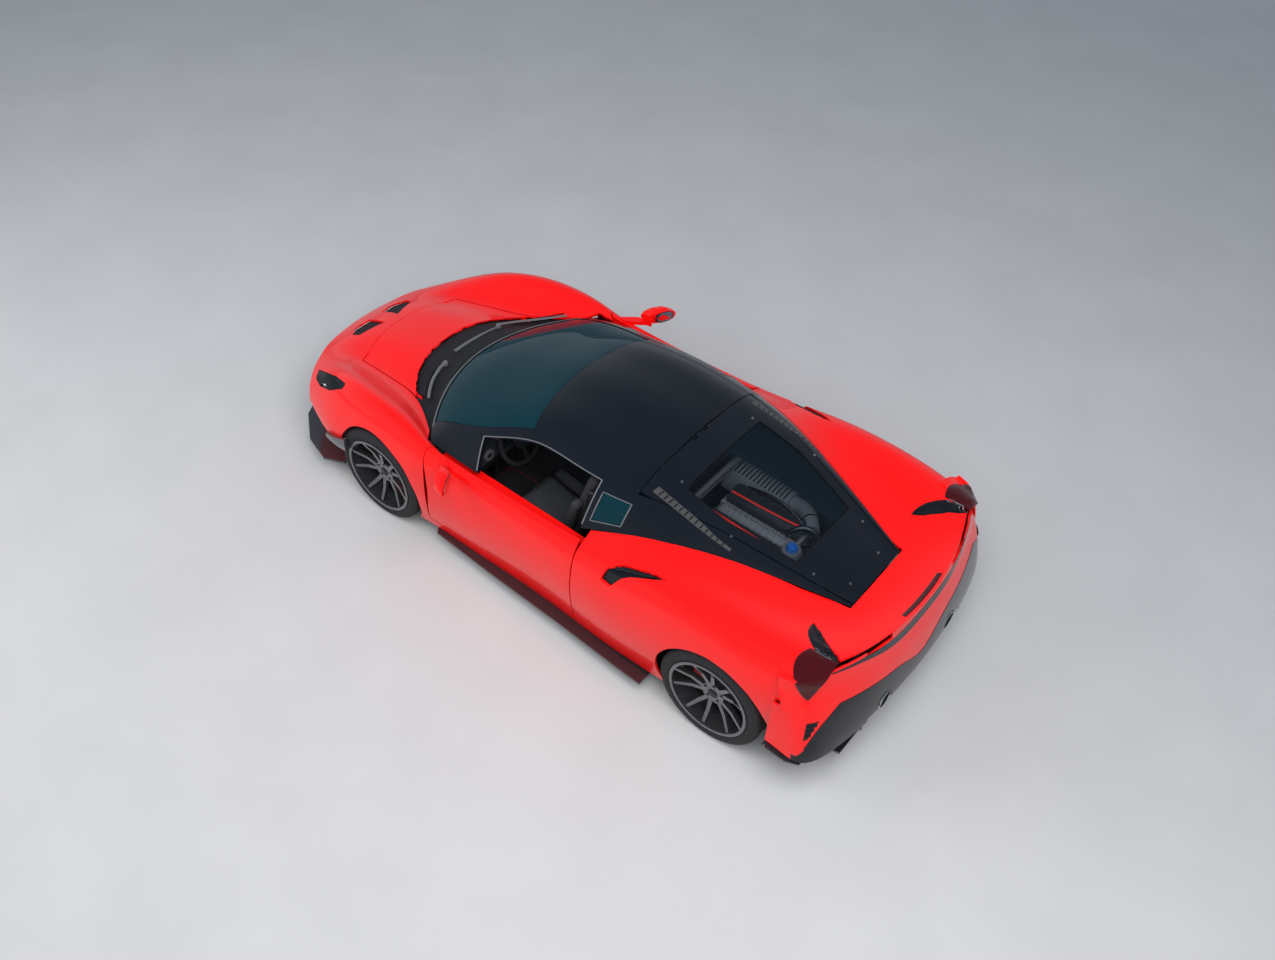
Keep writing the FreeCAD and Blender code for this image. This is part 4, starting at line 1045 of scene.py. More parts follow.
@dataclass(frozen=True)
class Grid:
    """Rows and stations at which one CAD skin has its corners, and how far its sides lie from the surface."""

    surface: Surface
    us: tuple
    vs: tuple
    outs: tuple = (0.0, -14.0)

    def triangles(self, out: float) -> tuple[list, list, list]:
        """Corners, triangles and (u, v) of the faceted side at a distance in millimetres.

        Args:
            out: the distance.

        Returns:
            The three lists.
        """
        u, v = np.meshgrid(np.array(self.us, float), np.array(self.vs, float), indexing="ij")
        flat_u, flat_v = u.ravel(), v.ravel()
        points = self.surface.at(flat_u, flat_v) + self.surface.normal(flat_u, flat_v) * out / 1000
        width = len(self.vs)
        faces = []
        for k in range(len(self.us) - 1):
            for i in range(width - 1):
                a, b, c, d = k * width + i, (k + 1) * width + i, (k + 1) * width + i + 1, k * width + i + 1
                right = points[a][1] + points[b][1] + points[c][1] + points[d][1] < -1e-5
                faces += [(a, b, d), (b, c, d)] if right else [(a, b, c), (a, c, d)]
        return [Vector(p) for p in points], faces, list(zip(flat_u, flat_v))


@dataclass
class Panel:
    """A panel that takes a CAD node's outline and the smooth surface behind its facets."""

    node: str
    grids: Sequence[Grid]
    look: Look
    mirrored: bool = False
    edge: float = 0.03
    second: Optional[Look] = None
    where: Optional[Callable[[Vector], bool]] = None

    def build(self) -> bpy.types.Object:
        """Returns:
            The piece.
        """
        bm = bmesh.new()
        bm.from_mesh(NODES[self.node].data)
        bmesh.ops.remove_doubles(bm, verts=bm.verts, dist=2e-5)
        for _ in range(6):
            long = [e for e in bm.edges if e.calc_length() > self.edge]
            if not long:
                break
            bmesh.ops.subdivide_edges(bm, edges=long, cuts=1, use_grid_fill=True)
            bmesh.ops.triangulate(bm, faces=[f for f in bm.faces if len(f.verts) > 3])
        self.fit(bm)
        obj = Build.from_bmesh(self.node + "_skin", bm)
        self.shade(obj)
        Build.declare(obj, self.node, self.look, [self.node])
        if self.second and self.where:
            obj.data.materials.append(Paints.get(self.second))
            for poly in obj.data.polygons:
                poly.material_index = int(self.where(poly.center))
        return obj

    def fit(self, bm: bmesh.types.BMesh) -> None:
        """Moves each point that lies on a facet to the smooth surface.

        Args:
            bm: the CAD node's mesh, divided finely.
        """
        bm.verts.ensure_lookup_table()
        self.smooth: dict[int, tuple[int, np.ndarray]] = {}
        for grid in self.grids:
            for side, out in enumerate(grid.outs):
                corners, faces, numbers = grid.triangles(out)
                tree = BVHTree.FromPolygons(corners, faces)
                found, us, vs, signs = [], [], [], []
                for vert in bm.verts:
                    sign = -1.0 if self.mirrored and vert.co.y < 0 else 1.0
                    where = Vector((vert.co.x, vert.co.y * sign, vert.co.z))
                    spot, _, index, distance = tree.find_nearest(where, 0.0004)
                    if spot is None or vert.index in self.smooth:
                        continue
                    a, b, c = (corners[i] for i in faces[index])
                    total = (b - a).cross(c - a)
                    size = total.length_squared
                    wa = (b - spot).cross(c - spot).dot(total) / size
                    wb = (c - spot).cross(a - spot).dot(total) / size
                    pairs = [numbers[i] for i in faces[index]]
                    us.append(wa * pairs[0][0] + wb * pairs[1][0] + (1 - wa - wb) * pairs[2][0])
                    vs.append(wa * pairs[0][1] + wb * pairs[1][1] + (1 - wa - wb) * pairs[2][1])
                    found.append(vert.index)
                    signs.append(sign)
                if not found:
                    continue
                u, v = np.array(us), np.array(vs)
                normal = grid.surface.normal(u, v)
                points = grid.surface.at(u, v) + normal * out / 1000
                for index, sign, point, direction in zip(found, signs, points, normal):
                    bm.verts[index].co = (point[0], point[1] * sign, point[2])
                    flip = 1.0 if side == 0 else -1.0
                    self.smooth[index] = side, np.array([direction[0], direction[1] * sign, direction[2]]) * flip

    def shade(self, obj: bpy.types.Object) -> None:
        """Gives the faces on the skins the surface's own normals.

        Args:
            obj: the panel.
        """
        data = obj.data
        data.polygons.foreach_set("use_smooth", [True] * len(data.polygons))
        normals = []
        for poly in data.polygons:
            own = [self.smooth.get(i) for i in poly.vertices]
            on_skin = all(entry is not None for entry in own) and len({entry[0] for entry in own if entry}) == 1
            flat = np.array(poly.normal)
            if on_skin and all(float(np.dot(entry[1], flat)) > 0.6 for entry in own):
                normals += [tuple(entry[1]) for entry in own]
            else:
                normals += [tuple(flat)] * len(poly.vertices)
        data.normals_split_custom_set(normals)


def span(first: int, last: int) -> tuple:
    """Whole numbers from first to last."""
    return tuple(range(first, last + 1))


@dataclass
class BodyShell:
    """The painted panels and the black glasshouse, as stations in millimetres along rows of their CAD skins."""

    side: tuple = span(0, 7)
    middle: tuple = (7.05, 8, 9, 10, 10.95)
    deck: tuple = (7.003, 8, 9, 10, 10.997)
    pane: tuple = (2.27, 3, 4, 5, 6, 7, 7.73)
    fender: tuple = (1985, 1850, 1700, 1560, 1400, 1240, 1100, 985, 880)
    haunch: tuple = (-476, -600, -720, -850, -980, -1100, -1300, -1507, -1680, -1850, -1990, -2110, -2235)
    door: tuple = (1120, 985, 880, 740, 600, 450, 300, 150, 0, -150, -300, -400, -470)
    cowl: tuple = (1560, 1480, 1400, 1320, 1240, 1150, 1075, 985, 900)
    roof: tuple = (1130, 960, 800, 620, 430, 235, 40, -150, -280, -400)
    rail: tuple = (-400, -550, -730, -900, -1100, -1300, -1480, -1650, -1800, -1925)
    lid: tuple = (-600, -730, -900, -1100, -1300, -1480, -1650, -1800, -1960)
    screen: tuple = (1104, 960, 790, 620, 430, 236)
    quarter: tuple = (-441, -560, -644)

    def panels(self) -> list[Panel]:
        """The panels with the grids of their CAD skins.

        Returns:
            The panels, from nose to tail.
        """
        body, canopy = BODY_SKIN, CANOPY_SKIN
        door = Grid(body, (0.476, 1, 2, 3, 4, 5), self.door, (0.0,))
        across, glass = span(0, 10), (-4.0, -9.0)
        return [
            Panel("front_bumper", [Grid(body, span(0, 18), (1985.5, 2060, 2150, 2225, 2300)),
                                   Grid(body, span(7, 11), (1901, 1940, 1985.5))], Look.PAINT),
            Panel("front_fenders", [Grid(body, self.side, self.fender)], Look.PAINT, True),
            Panel("rocker_panels", [Grid(body, (0, 0.43), (879.5, 600, 300, 0, -300, -475.5))], Look.PAINT, True),
            Panel("rear_fenders", [Grid(body, self.side, self.haunch)], Look.PAINT, True),
            Panel("rear_deck", [Grid(body, self.deck, (-1900, -2010, -2110, -2235))], Look.PAINT),
            Panel("rear_bumper", [Grid(TAIL_SKIN, span(0, 14), span(0, 5), (0.0,))], Look.PAINT, second=Look.GLOSS,
                  where=TailEnd().lower),
            Panel("front_lid", [Grid(body, self.middle, (1894, 1730, 1560, 1400, 1320, 1240), (0.0, -12.0))],
                  Look.PAINT),
            Panel("door_left", [door], Look.PAINT),
            Panel("door_right", [door], Look.PAINT, True),
            Panel("cowl_panel", [Grid(body, self.middle, self.cowl, (-18.0, -28.0)),
                                 Grid(body, self.middle, self.cowl[3:8], (-20.0, -40.0))], Look.TRIM),
            Panel("roof_panel", [Grid(canopy, (0.12, *span(1, 9), 9.88), self.roof, (0.0, -30.0)),
                                 Grid(canopy, across, self.rail, (0.0, -30.0))], Look.ROOF),
            Panel("engine_lid", [Grid(canopy, across, self.lid, (0.0, -20.0))], Look.ROOF),
            Panel("engine_lid_glass", [Grid(canopy, across, self.lid, (-5.0, -10.0))], Look.LID_GLASS),
            Panel("fixed_glass", [Grid(canopy, self.pane, self.screen, glass),
                                  Grid(canopy, (0.3, 1.5), self.quarter, glass),
                                  Grid(canopy, (8.5, 9.7), self.quarter, glass)], Look.SCREEN),
        ]

    def build(self) -> None:
        """Makes every panel."""
        for panel in self.panels():
            panel.build()


def smooth_line(points: Sequence[Sequence[float]], count: int) -> np.ndarray:
    """Points spread evenly along a smooth curve through given ones.

    Args:
        points: the given ones.
        count: how many to return.

    Returns:
        An array with one row for each point.
    """
    line = np.array(points, float)
    along = np.concatenate([[0.0], np.cumsum(np.linalg.norm(np.diff(line, axis=0), axis=1))])
    where = np.linspace(0, along[-1], count)
    table = np.repeat(along[:, None], count, 1)
    columns = [Curves(table, np.repeat(line[:, k][:, None], count, 1))(where) for k in range(line.shape[1])]
    return np.stack(columns, 1)


class Ribbon:
    """Strips and tubes that follow a smooth surface."""

    @staticmethod
    def plate(name: str, surface: Surface, first: Sequence, second: Sequence, out: float, thick: float,
              crown: float = 0.0, across: int = 5, along: int = 32) -> bpy.types.Object:
        """A plate on a surface between two lines.

        Args:
            name: the piece's name.
            surface: what it follows.
            first: one edge as (u, v) numbers of the surface.
            second: the other edge.
            out: height of its edges above the surface, in metres.
            thick: thickness in metres.
            crown: how much higher its middle stands.
            across: points across it.
            along: points along it.

        Returns:
            The object.
        """
        one, two = smooth_line(first, along), smooth_line(second, along)
        share = np.linspace(0, 1, across)
        u = (one[:, :1] * (1 - share) + two[:, :1] * share).ravel()
        v = (one[:, 1:2] * (1 - share) + two[:, 1:2] * share).ravel()
        base, normal = surface.at(u, v), surface.normal(u, v)
        rise = np.tile(out + crown * 4 * share * (1 - share), along)[:, None]
        top, low = base + normal * rise, base + normal * (out - thick)
        return Build.slab(name, top.reshape(along, across, 3), low.reshape(along, across, 3))

    @staticmethod
    def path(surface: Surface, line: Sequence, out: float, count: int = 40) -> list[Vector]:
        """Points above a surface along a smooth line of (u, v) numbers.

        Args:
            surface: what it follows.
            line: the (u, v) numbers.
            out: height in metres.
            count: points.

        Returns:
            The points.
        """
        numbers = smooth_line(line, count)
        points = surface.at(numbers[:, 0], numbers[:, 1])
        normals = surface.normal(numbers[:, 0], numbers[:, 1])
        return [Vector(p + n * out) for p, n in zip(points, normals)]

    @staticmethod
    def polygon(surface: Surface, corners: Sequence, out: float, step: int = 8) -> list[Vector]:
        """Points above a surface round a polygon of (u, v) numbers.

        Args:
            surface: what it follows.
            corners: the (u, v) numbers.
            out: height in metres.
            step: points a side.

        Returns:
            The points.
        """
        points = []
        for a, b in zip(corners, list(corners[1:]) + [corners[0]]):
            for i in range(step):
                share = i / step
                points.append(surface.point(a[0] + (b[0] - a[0]) * share, a[1] + (b[1] - a[1]) * share, out))
        return points


class GeometryTree:
    """A Geometry Nodes tree under construction, from a piece's mesh to its repeated copies."""

    def __init__(self, name: str, sizes: Sequence[tuple[str, str, object]]) -> None:
        """Starts a tree.

        Args:
            name: the tree's name.
            sizes: name, socket type and default of each input.
        """
        self.tree = bpy.data.node_groups.new(name, "GeometryNodeTree")
        face = self.tree.interface
        face.new_socket("Geometry", in_out="INPUT", socket_type="NodeSocketGeometry")
        self.names = {}
        for label, kind, value in sizes:
            socket = face.new_socket(label, in_out="INPUT", socket_type=kind)
            if value is not None:
                socket.default_value = value
            self.names[label] = socket.identifier
        material = face.new_socket("Material", in_out="INPUT", socket_type="NodeSocketMaterial")
        self.names["Material"] = material.identifier
        face.new_socket("Geometry", in_out="OUTPUT", socket_type="NodeSocketGeometry")
        self.source = self.tree.nodes.new("NodeGroupInput")
        self.result = self.tree.nodes.new("NodeGroupOutput")

    def node(self, kind: str, settings: Optional[dict] = None, inputs: Optional[dict] = None) -> bpy.types.Node:
        """Adds a node whose inputs are sockets or numbers.

        Args:
            kind: the node's type.
            settings: properties, set first.
            inputs: by socket name or number.

        Returns:
            The node.
        """
        node = self.tree.nodes.new(kind)
        for name, value in (settings or {}).items():
            setattr(node, name, value)
        for name, value in (inputs or {}).items():
            if isinstance(value, bpy.types.NodeSocket):
                self.tree.links.new(value, node.inputs[name])
            else:
                node.inputs[name].default_value = value
        return node

    def size(self, label: str) -> bpy.types.NodeSocket:
        """The tree's own input of a name."""
        return self.source.outputs[label]

    def finish(self, instances: bpy.types.NodeSocket) -> None:
        """Ends the tree in real geometry with its material.

        Args:
            instances: the copies.
        """
        real = self.node("GeometryNodeRealizeInstances", None, {"Geometry": instances})
        dressed = self.node("GeometryNodeSetMaterial", None,
                            {"Geometry": real.outputs[0], "Material": self.size("Material")})
        self.tree.links.new(dressed.outputs[0], self.result.inputs[0])


class Repeat:
    """Repeats a small mesh with Geometry Nodes: in a row or round an axle."""

    trees: dict[str, GeometryTree] = {}

    @classmethod
    def row(cls) -> GeometryTree:
        """Copies along a straight line.

        Returns:
            The tree of nodes.
        """
        if "row" not in cls.trees:
            tree = GeometryTree("copies_in_a_row", [("Count", "NodeSocketInt", 4), ("Step", "NodeSocketVector", None)])
            line = tree.node("GeometryNodeMeshLine", None, {"Count": tree.size("Count"), "Offset": tree.size("Step")})
            copies = tree.node("GeometryNodeInstanceOnPoints", None, {
                "Points": line.outputs[0], "Instance": tree.size("Geometry")})
            tree.finish(copies.outputs[0])
            cls.trees["row"] = tree
        return cls.trees["row"]

    @classmethod
    def ring(cls) -> GeometryTree:
        """Copies turned about an axle along Y that passes through the centre.

        Returns:
            The tree of nodes.
        """
        if "ring" not in cls.trees:
            tree = GeometryTree("copies_in_a_ring",
                                [("Count", "NodeSocketInt", 5), ("Centre", "NodeSocketVector", None)])
            line = tree.node("GeometryNodeMeshLine", None, {"Count": tree.size("Count"), "Offset": (0.0, 0.0, 0.0)})
            index = tree.node("GeometryNodeInputIndex")
            share = tree.node("ShaderNodeMath", {"operation": "DIVIDE"}, {0: index.outputs[0], 1: tree.size("Count")})
            turn = tree.node("ShaderNodeMath", {"operation": "MULTIPLY"}, {0: share.outputs[0], 1: 2 * math.pi})
            angles = tree.node("ShaderNodeCombineXYZ", None, {"Y": turn.outputs[0]})
            copies = tree.node("GeometryNodeInstanceOnPoints", None, {
                "Points": line.outputs[0], "Instance": tree.size("Geometry"), "Rotation": angles.outputs[0]})
            moved = tree.node("GeometryNodeTransform", None, {
                "Geometry": copies.outputs[0], "Translation": tree.size("Centre")})
            tree.finish(moved.outputs[0])
            cls.trees["ring"] = tree
        return cls.trees["ring"]

    @classmethod
    def make(cls, name: str, part: bpy.types.Object, tree: GeometryTree, look: Look,
             **sizes: object) -> bpy.types.Object:
        """Runs a tree on a small mesh.

        Args:
            name: the result's name.
            part: the mesh to repeat, which is used up.
            tree: the tree.
            look: the finish of the copies.
            sizes: values of the tree's inputs.

        Returns:
            A plain mesh object.
        """
        mod = part.modifiers.new("repeat", "NODES")
        mod.node_group = tree.tree
        values = {**sizes, "Material": Paints.get(look)}
        for label, value in values.items():
            mod[tree.names[label]] = value
        part.update_tag()
        graph = bpy.context.evaluated_depsgraph_get()
        graph.update()
        data = bpy.data.meshes.new_from_object(part.evaluated_get(graph))
        part.modifiers.remove(mod)
        bpy.data.objects.remove(part)
        obj = Build.place(name, data)
        if not data.materials:
            data.materials.append(Paints.get(look))
        return obj


@dataclass
class WheelSet:
    """Tread, bolts, centre cap and disc holes of the four wheels."""

    front: tuple = (1.1425, 0.8395, 0.340, 0.1225, 0.199)
    rear: tuple = (-1.5075, 0.8245, 0.3455, 0.1525, 0.180)
    seat: float = 0.256
    groove: float = 0.006
    bolts: int = 5

    def build(self) -> None:
        """Makes the pieces of every wheel."""
        for axle, (x, y, radius, half, disc) in (("front", self.front), ("rear", self.rear)):
            for side, sign in (("left", 1), ("right", -1)):
                centre = (x, y * sign, radius)
                label = f"{axle}_{side}"
                self.tyre(label, centre, radius, half)
                self.hub(label, centre, half, sign)
                self.disc_holes(label, centre, half, disc, sign)

    def tyre(self, label: str, centre: Sequence[float], radius: float, half: float) -> None:
        """A tyre with ribs round it and blocks on its shoulders, drawn as bars darker than the rubber: painted shade of
        the sipes.

        Args:
            label: the wheel's place.
            centre: its centre.
            radius: the tyre's radius.
            half: half of its width.
        """
        deep, seat = self.groove, self.seat
        tread = half - 0.030
        outline = [(seat, half - 0.015), (seat + 0.012, half - 0.006), (seat + 0.030, half - 0.0035),
                   (seat + 0.034, half - 0.001), (seat + 0.046, half - 0.001), (seat + 0.050, half - 0.0032),
                   (radius - 0.030, half - 0.0050), (radius - 0.016, half - 0.0095), (radius - 0.007, half - 0.017),
                   (radius - 0.002, half - 0.027)]
        grooves = [0.72, 0.27]
        for share in grooves:
            middle = tread * share
            outline += [(radius - 0.0008 * (1 + share), middle + 0.0065), (radius - deep - 0.001, middle + 0.0045),
                        (radius - deep - 0.001, middle - 0.0045), (radius - 0.0008 * (1 + share), middle - 0.0065)]
        outline.append((radius - 0.0006, 0.0))
        outline += [(r, -y) for r, y in outline[-2::-1]]
        obj = Build.lathe(f"tyre_tread_{label}", outline, centre, 120)
        marks = [self.cut(radius, half, sign) for sign in (1, -1)]
        sipes = Build.join("sipes", marks)
        # Dark bars round both shoulders: painted shade of the sipes.
        ring = Repeat.make(f"tyre_sipes_{label}", sipes, Repeat.ring(), Look.LINER, Count=60, Centre=centre)
        node = f"tyre_{label}"
        Build.declare(obj, node, Look.RUBBER, [node])
        Build.declare(ring, node)

    def cut(self, radius: float, half: float, sign: int) -> bpy.types.Object:
        """One raised bar of the shoulder, between the outer groove and the side, in a finish darker than the rubber:
        painted shade of a sipe.

        Args:
            radius: the tyre's radius.
            half: half of its width.
            sign: 1 for the left shoulder, -1 for the right.

        Returns:
            The bar.
        """
        rows = [(half - 0.017, radius - 0.0072), (half - 0.027, radius - 0.0020), (half - 0.048, radius - 0.0012)]
        rings = []
        for y, z in rows:
            shift = (half - y) * 0.25
            rings.append([(x + shift, y * sign, z + lift) for x, lift in (
                (-0.0016, 0.0006), (0.0016, 0.0006), (0.0016, -0.004), (-0.0016, -0.004))])
        return Build.loft("bar", rings, smooth=20.0)

    def hub(self, label: str, centre: Sequence[float], half: float, sign: int) -> None:
        """Wheel bolts, centre cap, valve and a bright edge on the rim.

        Args:
            label: the wheel's place.
            centre: its centre.
            half: half of the tyre's width.
            sign: 1 on the left, -1 on the right.
        """
        face = half - 0.058
        stud = [(0.0, 0.010), (0.006, 0.010), (0.0095, 0.006), (0.0105, 0.0), (0.0105, -0.006), (0.0, -0.006)]
        bolt = Build.lathe("bolt", stud, (0, 0, 0), 12, "Y", False)
        for vert in bolt.data.vertices:
            vert.co.y = (vert.co.y + face + 0.001) * sign
            vert.co.z += 0.058
        Build.tidy(bolt)
        bolts = Repeat.make(f"wheel_bolts_{label}", bolt, Repeat.ring(), Look.BOLT, Count=self.bolts, Centre=centre)
        Build.declare(bolts, f"rim_{label}")
        cap = [(0.0, 0.006), (0.020, 0.0055), (0.029, 0.002), (0.031, -0.006), (0.031, -0.012), (0.0, -0.012)]
        outline = [(r, (y + face) * sign) for r, y in cap]
        obj = Build.lathe(f"centre_cap_{label}", outline, centre, 40, "Y", False)
        Build.declare(obj, f"rim_{label}", Look.GLOSS)
        lip = half - 0.001
        edge = [(self.seat + 0.0102, lip - 0.008), (self.seat + 0.0102, lip + 0.0005),
                (self.seat + 0.004, lip + 0.0022), (self.seat - 0.006, lip + 0.0008), (self.seat - 0.009, lip - 0.004),
                (self.seat - 0.0085, lip - 0.0045)]
        ring = Build.lathe(f"rim_edge_{label}", [(r, y * sign) for r, y in edge], centre, 96)
        Build.declare(ring, f"rim_{label}", Look.RIM)
        turn = math.radians(36)
        reach = self.seat - 0.012
        spot = (centre[0] + reach * math.cos(turn), centre[1] + (half - 0.030) * sign,
                centre[2] + reach * math.sin(turn))
        valve = Build.tube(f"valve_{label}", [spot, (spot[0] - 0.006, spot[1] + 0.022 * sign, spot[2] - 0.005)], 0.0032,
                           8)
        Build.declare(valve, f"rim_{label}", Look.BOLT)

    def disc_holes(self, label: str, centre: Sequence[float], half: float, radius: float, sign: int) -> None:
        """Rows of small dark holes on the outer face of a brake disc.

        Args:
            label: the wheel's place.
            centre: its centre.
            half: half of the tyre's width.
            radius: the disc's radius.
            sign: 1 on the left, -1 on the right.
        """
        outer = (-half / 4 + 0.016) * sign
        rings = []
        # Each hole is a thin dark disc on the disc's face, not an opening: painted shade of a drilled hole.
        for k, reach in enumerate((0.62, 0.72, 0.82, 0.92)):
            outline = [(0.0, 0.0004), (0.0032, 0.0004), (0.0032, -0.0010), (0.0, -0.0010)]
            hole = Build.lathe("hole", outline, (0, 0, 0), 8, "Y", False)
            for vert in hole.data.vertices:
                vert.co.y = outer + vert.co.y * sign
                turn = 0.13 * k
                x, z = vert.co.x, vert.co.z + radius * reach
                vert.co.x, vert.co.z = x * math.cos(turn) + z * math.sin(turn), z * math.cos(turn) - x * math.sin(turn)
            Build.tidy(hole)
            rings.append(Repeat.make("holes", hole, Repeat.ring(), Look.SOOT, Count=36, Centre=centre))
        obj = Build.join(f"disc_holes_{label}", rings)
        Build.declare(obj, f"disc_{label}")


@dataclass
class Glazing:
    """Seals round the glass, the cowl's wipers and the trim of the side windows."""

    seal: float = 0.0045
    rise: float = 0.0015
    cowl: tuple = (7.0, 11.0)

    def build(self) -> None:
        """Makes the seals and the wipers."""
        self.seals()
        self.wipers()

    def seals(self) -> None:
        """Grey and black strips round the windows."""
        skin = CANOPY_SKIN
        for name, line, count in (
                ("window_seal", [(1.84, 588), (1.84, 300), (1.84, 0), (1.84, -200), (1.84, -398)], 60),
                ("pillar_seal", [(1.84, -398), (1.0, -399), (0.15, -400)], 24),
                ("screen_pillar_seal", [(1.84, 588), (1.0, 592), (0.2, 594)], 24)):
            path = Ribbon.path(skin, line, self.rise, count)
            Build.pair(Build.tube(f"{name}_left", path, self.seal, 8, flat=0.6), "roof_panel", Look.GREY)
        quarter = Ribbon.polygon(skin, [(0.33, -443), (1.47, -443), (1.47, -642), (0.33, -642)], 0.0005, 10)
        frame_left = Build.tube("quarter_frame_left", quarter, 0.004, 8, True, 0.6)
        Build.pair(frame_left, "roof_panel", Look.GREY)
        screen = Ribbon.polygon(skin, [(2.29, 1101), (2.29, 239), (7.71, 239), (7.71, 1101)], -self.rise, 24)
        Build.declare(Build.tube("windscreen_seal", screen, 0.0035, 8, True, 0.6), "roof_panel", Look.LINER)
        foot = Ribbon.path(skin, [(2.0, 1112), (3.5, 1112), (5, 1112), (6.5, 1112), (8.0, 1112)], self.rise, 60)
        Build.declare(Build.tube("windscreen_foot_strip", foot, 0.0045, 8, flat=0.5), "roof_panel", Look.GREY)

    def wipers(self) -> None:
        """Two arms with their blades on the cowl."""
        skin = BODY_SKIN
        for label, pivot, line, wide in (
                ("left", (1224, 231), [(1224, 231), (1204, 320), (1160, 420), (1085, 520)], 0.010),
                ("right", (1241, -300), [(1241, -300), (1190, -410), (1090, -560), (960, -690)], 0.010)):
            numbers = skin.find(smooth_line(line, 12), self.cowl)
            arm = Build.tube(f"wiper_arm_{label}", Ribbon.path(skin, numbers, 0.004, 24), wide, 8, flat=0.45)
            back = [(x + 26, y) for x, y in line]
            blade_numbers = skin.find(smooth_line(back[1:], 12), self.cowl)
            blade = Build.tube(f"wiper_blade_{label}", Ribbon.path(skin, blade_numbers, -0.003, 24), 0.006, 8, flat=1.3)
            u, v = skin.find([pivot], self.cowl)[0]
            spot = skin.point(u, v, -0.016)
            post = [(0.0, 0.026), (0.014, 0.026), (0.018, 0.018), (0.020, -0.004), (0.0, -0.004)]
            cap = Build.lathe(f"wiper_pivot_{label}", post, spot, 20, "Z", False)
            Build.declare(arm, "cowl_panel", Look.GREY)
            Build.declare(blade, "cowl_panel", Look.LINER)
            Build.declare(cap, "cowl_panel", Look.GREY)
        plan = [(1292, 88), (1284, 20), (1264, -160), (1246, -290)]
        inner = [(1262, 88), (1262, 20), (1252, -160), (1240, -290)]
        lines = [skin.find(smooth_line(edge, 12), self.cowl) for edge in (plan, inner)]
        cover = Ribbon.plate("wiper_cover", skin, lines[0], lines[1], -0.012, 0.008, 0.006)
        Build.declare(cover, "cowl_panel", Look.GREY)


class Drape:
    """Patches that lie on finished skins, also across the seam between two of them."""

    def __init__(self, *names: str) -> None:
        """Collects the skins.

        Args:
            names: pieces to lie on.
        """
        verts, faces = [], []
        for name in names:
            data = bpy.data.objects[name].data
            first = len(verts)
            verts += [v.co.copy() for v in data.vertices]
            faces += [[first + i for i in p.vertices] for p in data.polygons]
        self.tree = BVHTree.FromPolygons(verts, faces)

    def drop(self, place: Vector, lean: Vector) -> tuple[Vector, Vector]:
        """The skin's outer point and normal below a place, looking against a direction.

        Args:
            place: a point near the skin.
            lean: the direction.

        Returns:
            The point and the normal.
        """
        spot, normal, _, _ = self.tree.ray_cast(place + lean * 0.15, -lean, 0.4)
        if spot is None:
            spot, normal, _, _ = self.tree.find_nearest(place)
        return spot, normal if normal.dot(lean) > 0 else -normal

    @staticmethod
    def beside(grid: np.ndarray) -> list[np.ndarray]:
        """The grid itself and its four shifted copies.

        Args:
            grid: values over rows and columns.

        Returns:
            Five arrays of its shape.
        """
        padded = np.pad(grid, ((1, 1), (1, 1)) + ((0, 0),) * (grid.ndim - 2), mode="edge")
        return [grid, padded[:-2, 1:-1], padded[2:, 1:-1], padded[1:-1, :-2], padded[1:-1, 2:]]

    def patch(self, name: str, first: Sequence, second: Sequence, lean: Sequence[float], out: float, thick: float,
              crown: float = 0.0, across: int = 9, along: int = 24, fill: int = 0) -> bpy.types.Object:
        """A crowned plate between two lines in space, in millimetres, laid down along a direction.

        Args:
            name: the piece's name.
            first: one edge.
            second: the other edge.
            lean: direction away from the car.
            out: height of the edges above the skin, in metres.
            thick: thickness in metres.
            crown: how much higher the middle stands.
            across: points across.
            along: points along.
            fill: width of the dips in the skin that it bridges, in points.

        Returns:
            The object.
        """
        away = Vector(lean).normalized()
        lines = [smooth_line(np.array(line, float) / 1000, along) for line in (first, second)]
        s = np.linspace(0, 1, across)[None, :]
        blend = lines[0][:, None] * (1 - s[:, :, None]) + lines[1][:, None] * s[:, :, None]
        spots, normals = zip(*(self.drop(Vector(place), away) for place in blend.reshape(-1, 3)))
        grid = np.array(normals).reshape(along, across, 3)
        height = (np.array(spots).reshape(along, across, 3) - blend) @ np.array(away)
        for pick in (np.maximum, np.minimum):
            for _ in range(fill):
                height = pick.reduce(self.beside(height))
        for _ in range(6):
            grid = sum(self.beside(grid)) + grid
        for _ in range(2 if fill else 0):
            height = (sum(self.beside(height)) + height) / 6
        grid /= np.linalg.norm(grid, axis=2)[:, :, None]
        base = blend + height[:, :, None] * np.array(away)
        t = np.linspace(0, 1, along)[:, None]
        shape = (1 - (2 * s - 1) ** 4) * (1 - (2 * t - 1) ** 6)
        top = base + grid * (out + crown * shape)[:, :, None]
        low = base + grid * (out - thick)
        return Build.slab(name, top, low)


